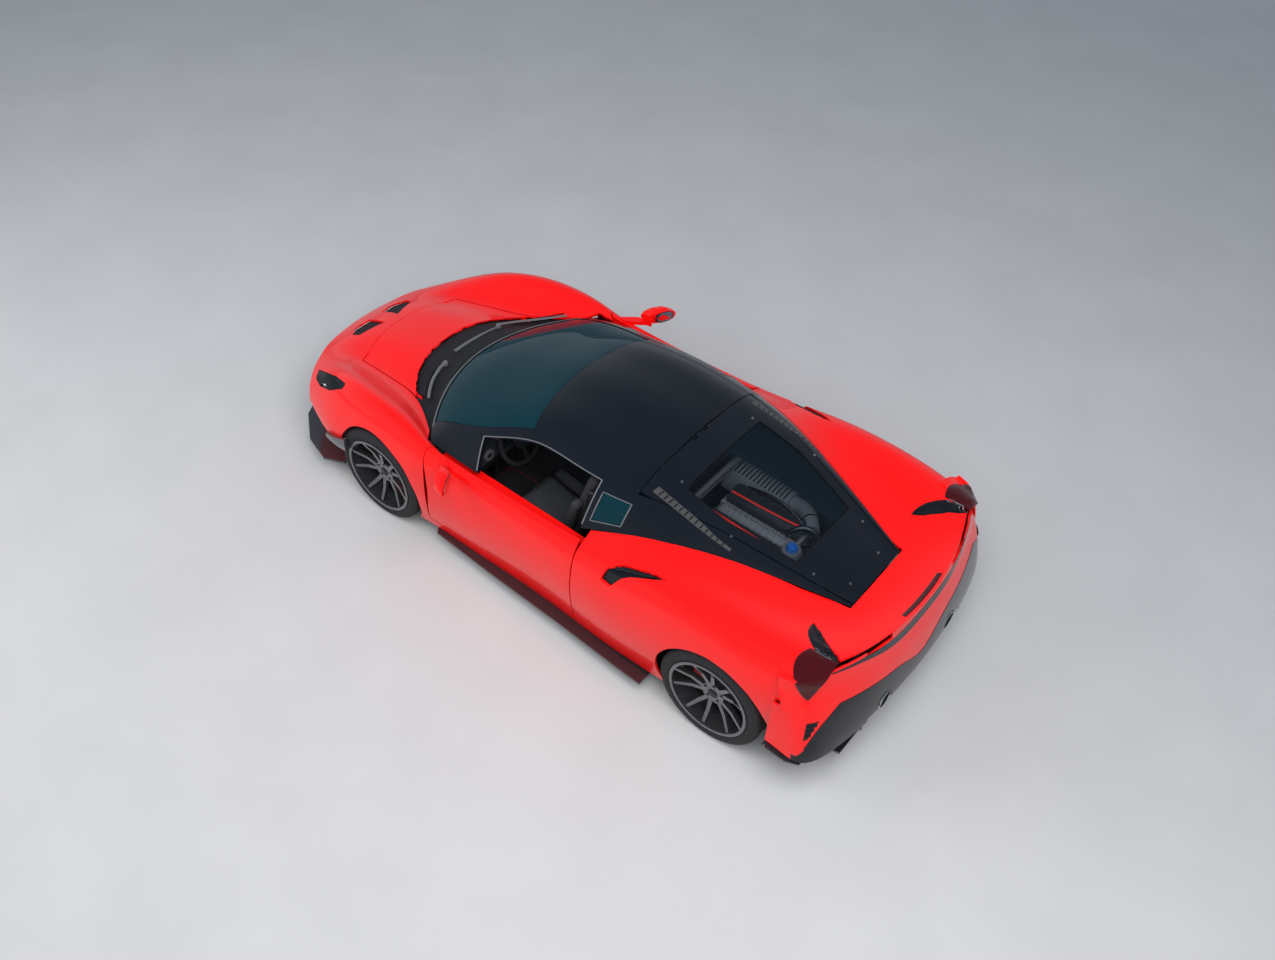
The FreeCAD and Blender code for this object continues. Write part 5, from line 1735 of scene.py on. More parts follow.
@dataclass
class Lamps:
    """Headlamp and tail lamp insides, lenses and the black tail pods."""

    led_size: tuple = (26, 11)
    led_row: tuple = ((1893, 748), (1835, 772), (1765, 791), (1695, 806), (1625, 812), (1578, 814))
    projector: tuple = ([(1975, 674), (1905, 692), (1850, 712)], [(1962, 706), (1912, 722), (1858, 738)])
    blade: tuple = ([(1835, 722), (1700, 757), (1580, 795)], [(1835, 734), (1700, 771), (1580, 803)])
    rim: tuple = ((1990, 665), (1850, 707), (1700, 746), (1561, 791), (1562, 821), (1700, 821), (1840, 785),
                  (1949, 727))
    cover: tuple = ([(1984, 669), (1850, 709), (1700, 748), (1563, 792)],
                    [(1975, 693), (1935, 735), (1840, 783), (1700, 819), (1600, 820), (1564, 819)])
    reach: tuple = (3.2, 7.4)
    pod_front: tuple = ((-1836, 532, 880), (-1850, 600, 905), (-1898, 668, 930), (-1960, 716, 938))
    pod_back: tuple = ((-1905, 558, 890), (-1985, 628, 915), (-2058, 672, 935), (-2094, 700, 940))
    pod_lean: tuple = (-0.25, 0.35, 0.9)
    corner_front: tuple = ((-1862, 790, 943), (-1868, 880, 930), (-1893, 950, 880), (-1935, 984, 800),
                           (-1975, 992, 700))
    corner_back: tuple = ((-2075, 790, 930), (-2085, 845, 880), (-2085, 890, 820), (-2085, 925, 760), (-2088, 948, 690))
    lens_front: tuple = ((-1935, 722, 942), (-1912, 812, 940), (-1930, 872, 918), (-1970, 904, 868), (-2020, 912, 820),
                         (-2058, 904, 790))
    lens_back: tuple = ((-2098, 706, 940), (-2100, 762, 930), (-2096, 815, 900), (-2088, 846, 870), (-2078, 872, 830),
                        (-2066, 898, 788))
    lens_lean: tuple = (-0.35, 0.65, 0.55)

    def build(self) -> None:
        """Makes the lamps."""
        self.headlamps()
        self.tail()

    def area(self, plan: Sequence) -> np.ndarray:
        """Numbers of the body's skin above places in plan."""
        return BODY_SKIN.find(plan, self.reach)

    def headlamps(self) -> None:
        """LED row, projector, bezels and the clear cover."""
        pieces = []
        row = smooth_line(self.led_row, 7)
        for k, (x, y) in enumerate(row):
            long, wide = self.led_size
            near, far, low, high = x + long / 2, x - long / 2, y - wide / 2, y + wide / 2
            edges = self.area([(near, low), (far, low + 4)]), self.area([(near, high - 4), (far, high)])
            pieces.append(Ribbon.plate(f"led_{k}", BODY_SKIN, *edges, -0.0026, 0.006, 0.0006, 5, 6))
        leds = Build.join("headlamp_leds_left", pieces)
        Build.pair(leds, "headlamps", Look.LED)
        for label, (first, second), thick, crown, across, along, look in (
                ("projector", self.projector, 0.010, 0.0018, 9, 14, Look.PROJECTOR),
                ("blade", self.blade, 0.006, 0.0012, 5, 20, Look.GREY)):
            piece = Ribbon.plate(f"headlamp_{label}_left", BODY_SKIN, self.area(first), self.area(second), -0.0030,
                                 thick, crown, across, along)
            Build.pair(piece, "headlamps", look)
        corners = self.area(self.rim)
        seal = Build.tube("headlamp_seal_left", Ribbon.polygon(BODY_SKIN, corners, -0.0012, 14), 0.0022, 6, True)
        Build.pair(seal, "headlamps", Look.LINER)
        first, second = self.area(self.cover[0]), self.area(self.cover[1])
        cover = Ribbon.plate("headlamp_cover_left", BODY_SKIN, first, second, -0.0005, 0.0012, 0.0, 9, 40)
        Build.pair(cover, "headlamps", Look.LENS)

    @staticmethod
    def rung(front: Sequence, back: Sequence, share: float) -> list[np.ndarray]:
        """The two ends of a line across a pod, at a share of the way along it.

        Args:
            front: the pod's front edge.
            back: its rear edge.
            share: the share.

        Returns:
            Two points in millimetres.
        """
        return [np.array(line[0]) + (np.array(line[3]) - np.array(line[0])) * share for line in (front, back)]

    def tail(self) -> None:
        """Black pods over the haunches and the dark red lamps that end them."""
        drape = Drape("rear_fenders_skin", "rear_bumper_skin", "rear_deck_skin")
        front, back, lean = self.pod_front, self.pod_back, self.pod_lean
        glass = drape.patch("tail_pod_left", front, back, lean, 0.0012, 0.005, 0.003, 9, 24)
        Build.pair(glass, "tail_vents", Look.GLOSS, ["tail_vents"])
        bars = []
        for k in range(6):
            a, b = self.rung(front, back, 0.12 + 0.15 * k)
            step = (np.array(front[3]) - np.array(front[0])) * 0.035
            line = np.array([a + (b - a) * 0.12, b + (a - b) * 0.12])
            bars.append(drape.patch(f"bar_{k}", line, line + step, lean, 0.0052, 0.004, 0.002, 4, 10))
        slats = Build.join("tail_pod_slats_left", bars)
        Build.pair(slats, "tail_vents", Look.TRIM)
        strips = []
        for share in (0.93, 1.03):
            line = np.array(self.rung(front, back, share))
            strips.append(drape.patch("strip", line, line + (-4.0, 5.0, 0.0), lean, 0.0066, 0.005, 0.0005, 4, 14))
        chrome = Build.join("tail_pod_strips_left", strips)
        Build.pair(chrome, "tail_lamps", Look.STEEL)
        corner = drape.patch("haunch_corner_left", self.corner_front, self.corner_back, self.lens_lean, 0.0010, 0.006,
                             0.0, 21, 34, 9)
        Build.pair(corner, "rear_fenders", Look.PAINT)
        drape = Drape("rear_fenders_skin", "rear_bumper_skin", "rear_deck_skin", "haunch_corner_left")
        lens = drape.patch("tail_lamp_left", self.lens_front, self.lens_back, self.lens_lean, 0.0018, 0.010, 0.008, 17,
                           36, 7)
        Build.pair(lens, "tail_lamps", Look.RED_LAMP, ["tail_lamps"])


@dataclass
class TailEnd:
    """Black lower tail, a gloss black strip that is painted shade under the ducktail's lip, slot, exhaust tips, plate
    and rear winglets.
    """

    arch: tuple = ((0, 495), (202, 575), (409, 627), (580, 662), (740, 690), (825, 643), (978, 464), (1000, 400))
    ridge: tuple = ((4.28, 2.89), (5.0, 2.62), (5.73, 2.24), (6.4, 1.82), (7.0, 1.32))
    under_ridge: tuple = ((4.30, 2.55), (5.0, 2.30), (5.73, 1.95), (6.4, 1.5), (7.0, 1.02))
    corner: tuple = ((2.5, 1.12), (3.1, 1.75), (3.81, 2.39), (4.28, 2.89))
    under_corner: tuple = ((2.62, 0.85), (3.2, 1.45), (3.9, 2.05), (4.30, 2.55))
    # Edges of the gloss black strip that is painted shade under the ducktail's lip.
    band: tuple = ((3.92, 4.96), (4.8, 4.88), (5.3, 4.80), (5.8, 4.62), (6.3, 4.46), (7.0, 4.40))
    under_shade_band: tuple = ((3.92, 4.88), (4.8, 4.70), (5.3, 4.50), (5.8, 4.18), (6.3, 3.92), (7.0, 3.84))
    lip: tuple = ((0.0548, -2.2885), (0.0552, -2.2915), (0.0570, -2.2932), (0.0588, -2.2915), (0.0592, -2.2870),
                  (0.0592, -2.2700), (0.0583, -2.2700), (0.0583, -2.2850), (0.0570, -2.2890), (0.0552, -2.2700))
    bore: tuple = ((0.0546, -2.2850), (0.0546, -2.1930), (0.0, -2.1930), (0.0, -2.1960), (0.0530, -2.1960),
                   (0.0530, -2.2850))
    tip: tuple = (0.363, 0.411)

    def lower(self, place: Vector) -> bool:
        """Whether a point of the rear bumper belongs to its black lower part."""
        ys, zs = zip(*self.arch)
        return place.z * 1000 < float(np.interp(abs(place.y) * 1000, ys, zs)) - 9 and place.x < -2.08

    @staticmethod
    def whole(line: Sequence) -> list:
        """A line of the tail that ends at its middle, with its mirror image."""
        return [*line, *((14 - u, v) for u, v in line[-2::-1])]

    def build(self) -> None:
        """Makes the tail's trim."""
        tail = TAIL_SKIN
        edge = Ribbon.plate("diffuser_edge", tail, self.whole(self.ridge), self.whole(self.under_ridge), 0.0022, 0.004,
                            0.0, 4, 80)
        Build.declare(edge, "rear_bumper", Look.GLOSS)
        corner = Ribbon.plate("diffuser_corner_left", tail, self.corner, self.under_corner, 0.0022, 0.004, 0.0, 4, 24)
        Build.pair(corner, "rear_bumper", Look.GLOSS)
        vent = Ribbon.plate("corner_vent_left", tail, [(2.62, 2.42), (2.42, 1.50)], [(3.36, 2.40), (2.74, 1.60)],
                            0.0012, 0.003, 0.0, 6, 10)
        bars = [vent]
        for k in range(3):
            s = 0.2 + 0.28 * k
            a, b = (2.62 - 0.20 * s, 2.42 - 0.92 * s), (3.36 - 0.62 * s, 2.40 - 0.80 * s)
            bars.append(Ribbon.plate("vane", tail, [a, b], [(a[0], a[1] - 0.07), (b[0], b[1] - 0.07)], 0.006, 0.005,
                                     0.002, 4, 8))
        vent = Build.join("corner_vent_left", bars)
        Build.pair(vent, "rear_bumper", Look.TRIM)
        # Gloss black strip across the tail where the ducktail's lip casts its shade: painted shade.
        band = Ribbon.plate("tail_band", tail, self.whole(self.band), self.whole(self.under_shade_band), 0.0016, 0.004, 0.0,
                            5, 90)
        Build.declare(band, "rear_bumper", Look.GLOSS)
        body = BODY_SKIN
        slot = Ribbon.plate("high_brake_lamp", body, [(7.85, -2196), (9, -2194), (10.15, -2196)],
                            [(7.85, -2224), (9, -2226), (10.15, -2224)], 0.0012, 0.004, 0.0015, 5, 40)
        Build.declare(slot, "rear_deck", Look.RED_LAMP)
        self.exhaust()
        plates = (("number_plate", 0.26, 0.262, 0.372, -2.2665, -2.2625, Look.PLATE),
                  ("plate_holder", 0.27, 0.254, 0.380, -2.2638, -2.2605, Look.TRIM))
        for name, y, low, high, back, front, look in plates:
            piece = Build.prism(name, [(-y, low), (y, low), (y, high), (-y, high)], back, front, "X", 0.001)
            Build.declare(piece, "rear_diffuser", look)
        self.winglets()

    def exhaust(self) -> None:
        """Rolled lips and dark insides of the two tips."""
        y, z = self.tip
        for side, sign in (("left", 1), ("right", -1)):
            ring = Build.lathe(f"exhaust_lip_{side}", self.lip, (0, y * sign, z), 64, "X")
            Build.declare(ring, "exhaust", Look.STEEL)
            inside = Build.lathe(f"exhaust_bore_{side}", self.bore, (0, y * sign, z), 48, "X")
            Build.declare(inside, "exhaust", Look.SOOT)

    def winglets(self) -> None:
        """Small black blades behind the rear wheels and at the nose's corners."""
        plan = [(-1880, 915), (-1925, 1012), (-2060, 1016), (-2135, 985), (-2140, 930), (-2060, 940), (-1950, 900)]
        blade = Build.prism("rear_winglet_left", [(x / 1000, y / 1000) for x, y in plan], 0.322, 0.334, "Z", 0.004)
        Build.pair(blade, "rear_bumper", Look.CARBON)
        lines = [(2.15, 2080), (2.3, 1980), (2.45, 1880)], [(1.75, 2075), (1.85, 1975), (1.95, 1875)]
        canard = Ribbon.plate("nose_winglet_left", BODY_SKIN, lines[0], lines[1], 0.026, 0.022, 0.004, 5, 24)
        Build.pair(canard, "front_bumper", Look.CARBON)


@dataclass
class SideTrim:
    """Haunch intakes, grille bars and mirror glass."""

    mirror_back: tuple = ((985, 1030, 1080, 1115), (434.8, 400.2, 376.4, 363.4))
    mirror_outline: tuple = ((994, 815), (990, 842), (996, 872), (1030, 889), (1078, 887), (1106, 866), (1113, 843),
                             (1106, 820), (1078, 804), (1030, 802))
    bar_step: float = 0.0265
    post_step: float = 0.02856

    def build(self) -> None:
        """Makes the trim of the sides and the nose."""
        self.intakes()
        self.grille()
        self.mirrors()

    def intakes(self) -> None:
        """Two vanes in each haunch intake."""
        vanes = []
        for k, drop in enumerate((-0.006, -0.009)):
            first = [(-760 - 60 * k, 898 - 14 * k), (-860 - 50 * k, 878 - 8 * k), (-1000, 850)]
            second = [(-775 - 60 * k, 915 - 14 * k), (-870 - 50 * k, 890 - 8 * k), (-1002, 858)]
            lines = [BODY_SKIN.find(line, (3.0, 6.6)) for line in (first, second)]
            vanes.append(Ribbon.plate("vane", BODY_SKIN, lines[0], lines[1], drop, 0.006, 0.002, 4, 20))
        vane = Build.join("intake_vanes_left", vanes)
        Build.pair(vane, "side_intakes", Look.TRIM)

    def grille(self) -> None:
        """Bars across the nose opening."""
        bar = Build.block("bar", (2.054, -0.545, 0.160), (2.066, 0.545, 0.166), 0.0015)
        bars = Repeat.make("grille_bars", bar, Repeat.row(), Look.TRIM, Count=9, Step=(0.0, 0.0, self.bar_step))
        Build.declare(bars, "front_grilles")
        post = Build.block("post", (2.053, -0.530, 0.150), (2.060, -0.526, 0.388), 0.001)
        posts = Repeat.make("grille_posts", post, Repeat.row(), Look.TRIM, Count=38, Step=(0.0, self.post_step, 0.0))
        Build.declare(posts, "front_grilles")

    def mirrors(self) -> None:
        """Glass and a dark frame in the rear face of each mirror."""
        (ys, xs), shape = self.mirror_back, self.mirror_outline
        middle = np.mean(shape, axis=0)
        for label, grow, near, far, look in (("frame", 1.0, -0.5, 4.0, Look.GLOSS),
                                             ("glass", 0.88, -2.2, 1.0, Look.MIRROR)):
            edge = middle + (np.array(shape) - middle) * grow
            rings = [[((float(np.interp(y, ys, xs)) + depth) / 1000, y / 1000, z / 1000) for y, z in edge]
                     for depth in (near, far)]
            obj = Build.loft(f"mirror_{label}_left", rings)
            Build.bevel(obj, 0.0008, 1)
            Build.declare(Build.mirror(obj, f"mirror_{label}_right"), "mirror_right", look)
            Build.declare(obj, "mirror_left", look)


@dataclass
class EngineBay:
    """What shows through the glass of the engine lid, and the louvre strips beside it."""

    cover_y: tuple = (0.060, 0.210)
    cover_x: tuple = (-1.370, -0.850)
    top: float = 0.7416
    louvre: tuple = (((2.52, -700), (2.2, -900), (1.75, -1080), (1.1, -1240)),
                     ((2.94, -712), (2.62, -900), (2.2, -1080), (1.55, -1240)))
    window: tuple = ((-834, 366), (-1130, 370), (-1557, 271), (-1557, -271), (-1130, -370), (-834, -366))
    fasteners: tuple = ((-790, 350), (-790, -350), (-1200, 425), (-1200, -425), (-1660, 260), (-1660, -260),
                        (-1840, 150), (-1840, -150))
    across: tuple = (1.0, 9.0)

    def build(self) -> None:
        """Makes the engine's dress."""
        self.boxes()
        self.covers()
        self.fittings()
        self.louvres()

    def boxes(self) -> None:
        """Ribbed intake boxes on both sides."""
        for side, sign in (("left", 1), ("right", -1)):
            outline = [(0.235, 0.560), (0.430, 0.560), (0.440, 0.620), (0.405, 0.715), (0.340, 0.742), (0.262, 0.735),
                       (0.238, 0.690)]
            body = Build.prism(f"intake_box_{side}", [(y * sign, z) for y, z in outline], -1.165, -0.690, "X", 0.014)
            rib_line = [(0.262, 0.729), (0.340, 0.736), (0.405, 0.709), (0.428, 0.650), (0.436, 0.656), (0.412, 0.718),
                        (0.342, 0.7475), (0.258, 0.741)]
            rib = Build.prism("rib", [(y * sign, z) for y, z in rib_line], -1.140, -1.132, "X")
            ribs = Repeat.make(f"intake_ribs_{side}", rib, Repeat.row(), Look.TRIM, Count=15, Step=(0.028, 0.0, 0.0))
            Build.declare(body, "engine_airboxes", Look.BOX, ["engine_airboxes"])
            Build.declare(ribs, "engine_airboxes")
            neck = [(-1.150, 0.330 * sign, 0.655), (-1.230, 0.325 * sign, 0.672), (-1.320, 0.270 * sign, 0.690),
                    (-1.400, 0.170 * sign, 0.700)]
            tube = Build.tube(f"intake_duct_{side}", smooth_line(neck, 28), 0.052, 20)
            Build.declare(tube, "engine_airboxes", Look.BOX)
            clamp = Build.tube(f"duct_clamp_{side}", smooth_line(neck, 28)[18:20], 0.0545, 20)
            Build.declare(clamp, "engine_airboxes", Look.STEEL)

    def covers(self) -> None:
        """Carbon covers with a red line each, their bolts and a spine between them."""
        low, high = self.cover_x
        for side, sign in (("left", 1), ("right", -1)):
            a, b = self.cover_y
            outline = [(a, 0.640), (b, 0.640), (b + 0.012, 0.700), (b - 0.016, self.top - 0.006), (a + 0.030, self.top),
                       (a, self.top - 0.020)]
            cover = Build.prism(f"cam_cover_{side}", [(y * sign, z) for y, z in outline], low, high, "X", 0.010)
            Build.declare(cover, "engine_airboxes", Look.CARBON)
            line = [(high - 0.012, 0.104 * sign, self.top - 0.002), (-1.0, 0.108 * sign, self.top - 0.0015),
                    (-1.2, 0.118 * sign, self.top - 0.002), (low + 0.015, 0.134 * sign, self.top - 0.003)]
            stripe = Build.tube(f"cover_line_{side}", smooth_line(line, 30), 0.0085, 8, flat=0.45)
            Build.declare(stripe, "engine_airboxes", Look.REDPART)
            head = Build.lathe("head", [(0.0, 0.006), (0.006, 0.006), (0.007, 0.003), (0.011, 0.002), (0.011, -0.002),
                                        (0.0, -0.002)], (0, 0, 0), 12, "Z", False)
            for vert in head.data.vertices:
                vert.co += Vector((low + 0.045, (b - 0.020) * sign, self.top - 0.0045))
            bolts = Repeat.make(f"cover_bolts_{side}", head, Repeat.row(), Look.BOLT, Count=7, Step=(0.072, 0.0, 0.0))
            Build.declare(bolts, "engine_airboxes")
        spine = Build.prism("engine_spine", [(-0.050, 0.560), (0.050, 0.560), (0.044, 0.672), (0.020, 0.700),
                                             (-0.020, 0.700), (-0.044, 0.672)], -1.36, -0.86, "X", 0.006)
        Build.declare(spine, "engine_airboxes", Look.CAST)
        rib = Build.block("rib", (-1.34, -0.046, 0.66), (-1.33, 0.046, 0.707), 0.003)
        Build.declare(Repeat.make("spine_ribs", rib, Repeat.row(), Look.CAST, Count=12, Step=(0.0405, 0.0, 0.0)),
                      "engine_airboxes")

    def fittings(self) -> None:
        """Blue cap and its tank, a metal shield, pipes, the cross tube with its feet, and the bay's seal."""
        cap = [(0.0, 0.020), (0.026, 0.020), (0.031, 0.016), (0.032, 0.002), (0.036, 0.0), (0.036, -0.020),
               (0.0, -0.020)]
        Build.declare(Build.lathe("coolant_cap", cap, (-1.405, 0.060, 0.765), 28, "Z", False), "engine", Look.BLUE)
        neck = [(0.0, 0.0), (0.055, 0.0), (0.062, -0.012), (0.070, -0.130), (0.0, -0.130)]
        Build.declare(Build.lathe("coolant_tank", neck, (-1.405, 0.060, 0.755), 28, "Z", False), "engine", Look.BOX)
        pipes = []
        routes = [[(-1.30, -0.05, 0.72), (-1.38, -0.12, 0.76), (-1.46, -0.14, 0.73), (-1.55, -0.10, 0.69)],
                  [(-0.90, -0.225, 0.70), (-1.05, -0.222, 0.735), (-1.22, -0.205, 0.74), (-1.34, -0.16, 0.73)],
                  [(-1.36, 0.12, 0.71), (-1.47, 0.15, 0.745), (-1.58, 0.10, 0.71), (-1.66, 0.0, 0.66)],
                  [(-1.42, -0.02, 0.70), (-1.52, -0.03, 0.755), (-1.62, -0.05, 0.71), (-1.70, -0.08, 0.62)]]
        for k, route in enumerate(routes):
            pipes.append(Build.tube(f"pipe_{k}", smooth_line(route, 26), (0.020, 0.013, 0.022, 0.016)[k], 14))
        Build.declare(Build.join("engine_pipes", pipes), "engine", Look.STEEL)
        shield = Build.prism("heat_shield", [(-0.185, 0.560), (0.185, 0.560), (0.170, 0.672), (0.120, 0.705),
                                             (-0.120, 0.705), (-0.170, 0.672)], -1.79, -1.43, "X", 0.012)
        Build.declare(shield, "engine", Look.FOIL)
        beam = [(-0.775, -0.460, 0.742), (-0.765, -0.300, 0.800), (-0.760, 0.0, 0.815), (-0.765, 0.300, 0.800),
                (-0.775, 0.460, 0.742)]
        Build.declare(Build.tube("bay_cross_tube", smooth_line(beam, 40), 0.019, 14), "rear_structure", Look.GREY)
        foot = Build.block("cross_tube_foot", (-0.805, 0.430, 0.676), (-0.745, 0.512, 0.745), 0.006)
        Build.declare(Build.mirror(foot, "cross_tube_foot_right"), "rear_structure", Look.CAST)
        Build.declare(foot, "rear_structure", Look.CAST)
        line = [(-0.72, 0.47), (-1.2, 0.47), (-1.9, 0.40)]
        skirt = [(x, s * y, 0.676) for s, order in ((1, 1), (-1, -1)) for x, y in line[::order]]
        ring = Build.tube("bay_seal", skirt, 0.010, 8, True)
        Build.declare(ring, "rear_structure", Look.SEAL)

    def louvres(self) -> None:
        """Dark strips with small slats beside the window, and a frame round it."""
        skin = CANOPY_SKIN
        for side, flip in (("left", False), ("right", True)):
            outer, inner = ([(10 - u, v) if flip else (u, v) for u, v in line] for line in self.louvre)
            strip = Ribbon.plate(f"louvre_strip_{side}", skin, outer, inner, 0.0012, 0.003, 0.0, 5, 40)
            Build.declare(strip, "engine_lid", Look.LOUVRE)
            one, two = smooth_line(outer, 30), smooth_line(inner, 30)
            slats = []
            for k in range(2, 28, 2):
                a, b = one[k] + (two[k] - one[k]) * 0.12, one[k] + (two[k] - one[k]) * 0.88
                slats.append(Ribbon.plate("slat", skin, [a, b], [(a[0], a[1] - 7), (b[0], b[1] - 7)], 0.0052, 0.0042,
                                          0.001, 4, 8))
            Build.declare(Build.join(f"louvre_slats_{side}", slats), "engine_lid", Look.GLOSS)
        edge = Ribbon.plate("lid_front_strip", skin, [(1.72, -621), (5, -621), (8.28, -621)],
                            [(1.72, -639), (5, -639), (8.28, -639)], 0.0016, 0.004, 0.0, 5, 60)
        Build.declare(edge, "roof_panel", Look.ROOF)
        corners = skin.find(self.window, self.across)
        ring = Build.tube("lid_window_frame", Ribbon.polygon(skin, corners, -0.0015, 24), 0.0040, 8, True, 0.6)
        Build.declare(ring, "engine_lid", Look.LINER)
        head = Build.lathe("head", [(0.0, 0.0025), (0.008, 0.0022), (0.0095, 0.0), (0.0095, -0.003), (0.0, -0.003)],
                           (0, 0, 0), 14, "Z", False)
        spots = skin.find(self.fasteners, self.across)
        heads = []
        for (u, v), normal in zip(spots, skin.normal(spots[:, 0], spots[:, 1])):
            turn = Vector(normal).to_track_quat("Z", "Y").to_matrix().to_4x4()
            heads.append(Build.copy(head, "head_copy", Matrix.Translation(skin.point(u, v, 0.0008)) @ turn))
        bpy.data.objects.remove(head)
        Build.declare(Build.join("lid_fasteners", heads), "engine_lid", Look.BOLT)


@dataclass
class Cabin:
    """Padded seats, wheel, dash, console, door cards and carpet."""

    seat_y: float = 0.370
    shell: tuple = ((0.325, 0.235), (0.330, 0.300), (0.10, 0.268), (-0.105, 0.292), (-0.215, 0.560), (-0.290, 0.880),
                    (-0.335, 0.886), (-0.300, 0.700), (-0.215, 0.400), (-0.135, 0.240))
    cushion: tuple = ((-0.095, 0.262), (0.10, 0.266), (0.30, 0.298), (0.335, 0.330), (0.325, 0.356), (0.26, 0.362),
                      (0.08, 0.330), (-0.070, 0.330))
    back: tuple = ((-0.090, 0.345), (-0.060, 0.372), (-0.082, 0.440), (-0.165, 0.690), (-0.222, 0.862), (-0.262, 0.886),
                   (-0.292, 0.872), (-0.245, 0.690), (-0.160, 0.440))
    bolster: tuple = ((-0.085, 0.290), (0.10, 0.285), (0.27, 0.312), (0.300, 0.345), (0.27, 0.385), (0.10, 0.372),
                      (-0.060, 0.388), (-0.118, 0.560), (-0.170, 0.700), (-0.200, 0.715), (-0.235, 0.690),
                      (-0.160, 0.440))
    wheel_radius: float = 0.165
    voxel: float = 0.009
    swell: float = 0.014

    def build(self) -> None:
        """Makes the cabin."""
        for side, sign in (("left", 1), ("right", -1)):
            self.seat(side, sign)
            self.door_card(side, sign)
        self.dash()
        self.wheel()
        self.floor()

    def seat(self, side: str, sign: int) -> None:
        """One seat: shell, cushion, back and bolsters.

        Args:
            side: left or right.
            sign: 1 on the left, -1 on the right.
        """
        y0 = self.seat_y * sign
        shell = Build.prism(f"seat_shell_{side}", self.shell, y0 - 0.205, y0 + 0.205, "Y", 0.012)
        Build.declare(shell, "seats", Look.CARBON, ["seats"])
        base = Build.block(f"seat_base_{side}", (-0.085, y0 - 0.185, 0.1205), (0.285, y0 + 0.185, 0.236), 0.01)
        Build.declare(base, "seats", Look.FRAME)
        self.pad(f"seat_cushion_{side}", self.cushion, y0, 0.145, 0.7)
        self.pad(f"seat_back_{side}", self.back, y0, 0.130, 0.7)
        for label, shift in (("inner", -0.182 * sign), ("outer", 0.182 * sign)):
            self.pad(f"seat_bolster_{label}_{side}", self.bolster, y0 + shift, 0.032, 0.8)

    def pad(self, name: str, outline: Sequence, middle: float, half: float, fill: float) -> None:
        """A padded piece blown up from a side outline.

        Args:
            name: the piece's name.
            outline: (x, z) points in metres.
            middle: y of its middle.
            half: half of its width.
            fill: how tight it is; not used.
        """
        obj = Build.prism(name, outline, middle - half, middle + half, "Y", 0.016)
        source = Build.join(name, [obj])
        remesh = source.modifiers.new("voxels", "REMESH")
        remesh.mode, remesh.voxel_size = "VOXEL", self.voxel
        source = Build.join(name, [source])
        self.inflate(source, self.swell)
        seams = [middle - half * 0.45, middle + half * 0.45] if half > 0.06 else [middle]
        for vert in source.data.vertices:
            for seam in seams:
                near = abs(vert.co.y - seam)
                if near < 0.010:
                    vert.co -= vert.normal * 0.0045 * (1 - near / 0.010) ** 2
        smooth = source.modifiers.new("smooth", "SUBSURF")
        smooth.levels = smooth.render_levels = 1
        source.data.polygons.foreach_set("use_smooth", [True] * len(source.data.polygons))
        Build.declare(source, "seats", Look.SEAT)

    @staticmethod
    def inflate(obj: bpy.types.Object, cap: float) -> None:
        """Swells a closed mesh as cloth under pressure and caps how far its points move.

        Args:
            obj: the piece.
            cap: longest move in metres.
        """
        start = [v.co.copy() for v in obj.data.vertices]
        mod = obj.modifiers.new("cloth", "CLOTH")
        mod.settings.use_pressure = True
        mod.settings.uniform_pressure_force = 4.0
        mod.settings.effector_weights.gravity = 0.0
        scene = bpy.context.scene
        for number in range(1, 21):
            scene.frame_set(number)
        graph = bpy.context.evaluated_depsgraph_get()
        data = bpy.data.meshes.new_from_object(obj.evaluated_get(graph))
        ends = [v.co.copy() for v in data.vertices]
        bpy.data.meshes.remove(data)
        obj.modifiers.remove(mod)
        scene.frame_set(1)
        for vert, before, after in zip(obj.data.vertices, start, ends):
            move = after - before
            if move.length > cap:
                move *= cap / move.length
            vert.co = before + move
        obj.data.update()

    def dash(self) -> None:
        """Hood, screens, vents and the console's controls."""
        hood = [(0.498, 0.752), (0.560, 0.800), (0.640, 0.812), (0.700, 0.772), (0.700, 0.740), (0.520, 0.735)]
        Build.declare(Build.prism("instrument_hood", hood, 0.225, 0.515, "Y", 0.012), "dashboard", Look.SUEDE)
        screen = Build.block("instrument_screen", (0.492, 0.255, 0.655), (0.502, 0.485, 0.742), 0.003)
        Build.declare(screen, "dashboard", Look.SCREEN_DARK)
        for k, y in enumerate((0.60, 0.12, -0.12, -0.60)):
            ring = Build.lathe(f"dash_vent_{k}", [(0.020, 0.0), (0.038, 0.0), (0.041, 0.006), (0.041, 0.016),
                                                  (0.020, 0.016)], (0.478, y, 0.690), 32, "X")
            Build.declare(ring, "dashboard", Look.GREY)
            hub = Build.lathe(f"vent_hub_{k}", [(0.0, 0.002), (0.019, 0.004), (0.019, 0.018), (0.0, 0.018)],
                              (0.478, y, 0.690), 20, "X", False)
            Build.declare(hub, "dashboard", Look.LINER)
        strip = Build.block("passenger_screen", (0.484, -0.470, 0.664), (0.494, -0.210, 0.708), 0.003)
        Build.declare(strip, "dashboard", Look.SCREEN_DARK)
        seam = Build.tube("dash_stitching", [(0.497, -0.66, 0.7535), (0.497, -0.2, 0.7535), (0.497, 0.2, 0.7535)],
                          0.0016, 6)
        Build.declare(seam, "dashboard", Look.STITCH)
        top = Build.block("console_trim", (-0.19, -0.085, 0.4305), (0.19, 0.085, 0.438), 0.006)
        Build.declare(top, "dashboard", Look.CARBON)
        knob = Build.block("switch", (-0.02, -0.055, 0.436), (0.010, -0.030, 0.446), 0.003)
        Build.declare(Repeat.make("console_switches", knob, Repeat.row(), Look.GREY, Count=4, Step=(0.0, 0.0285, 0.0)),
                      "dashboard")
        rest = Build.block("arm_rest", (-0.195, -0.075, 0.437), (-0.045, 0.075, 0.462), 0.014)
        Build.declare(rest, "dashboard", Look.LEATHER)

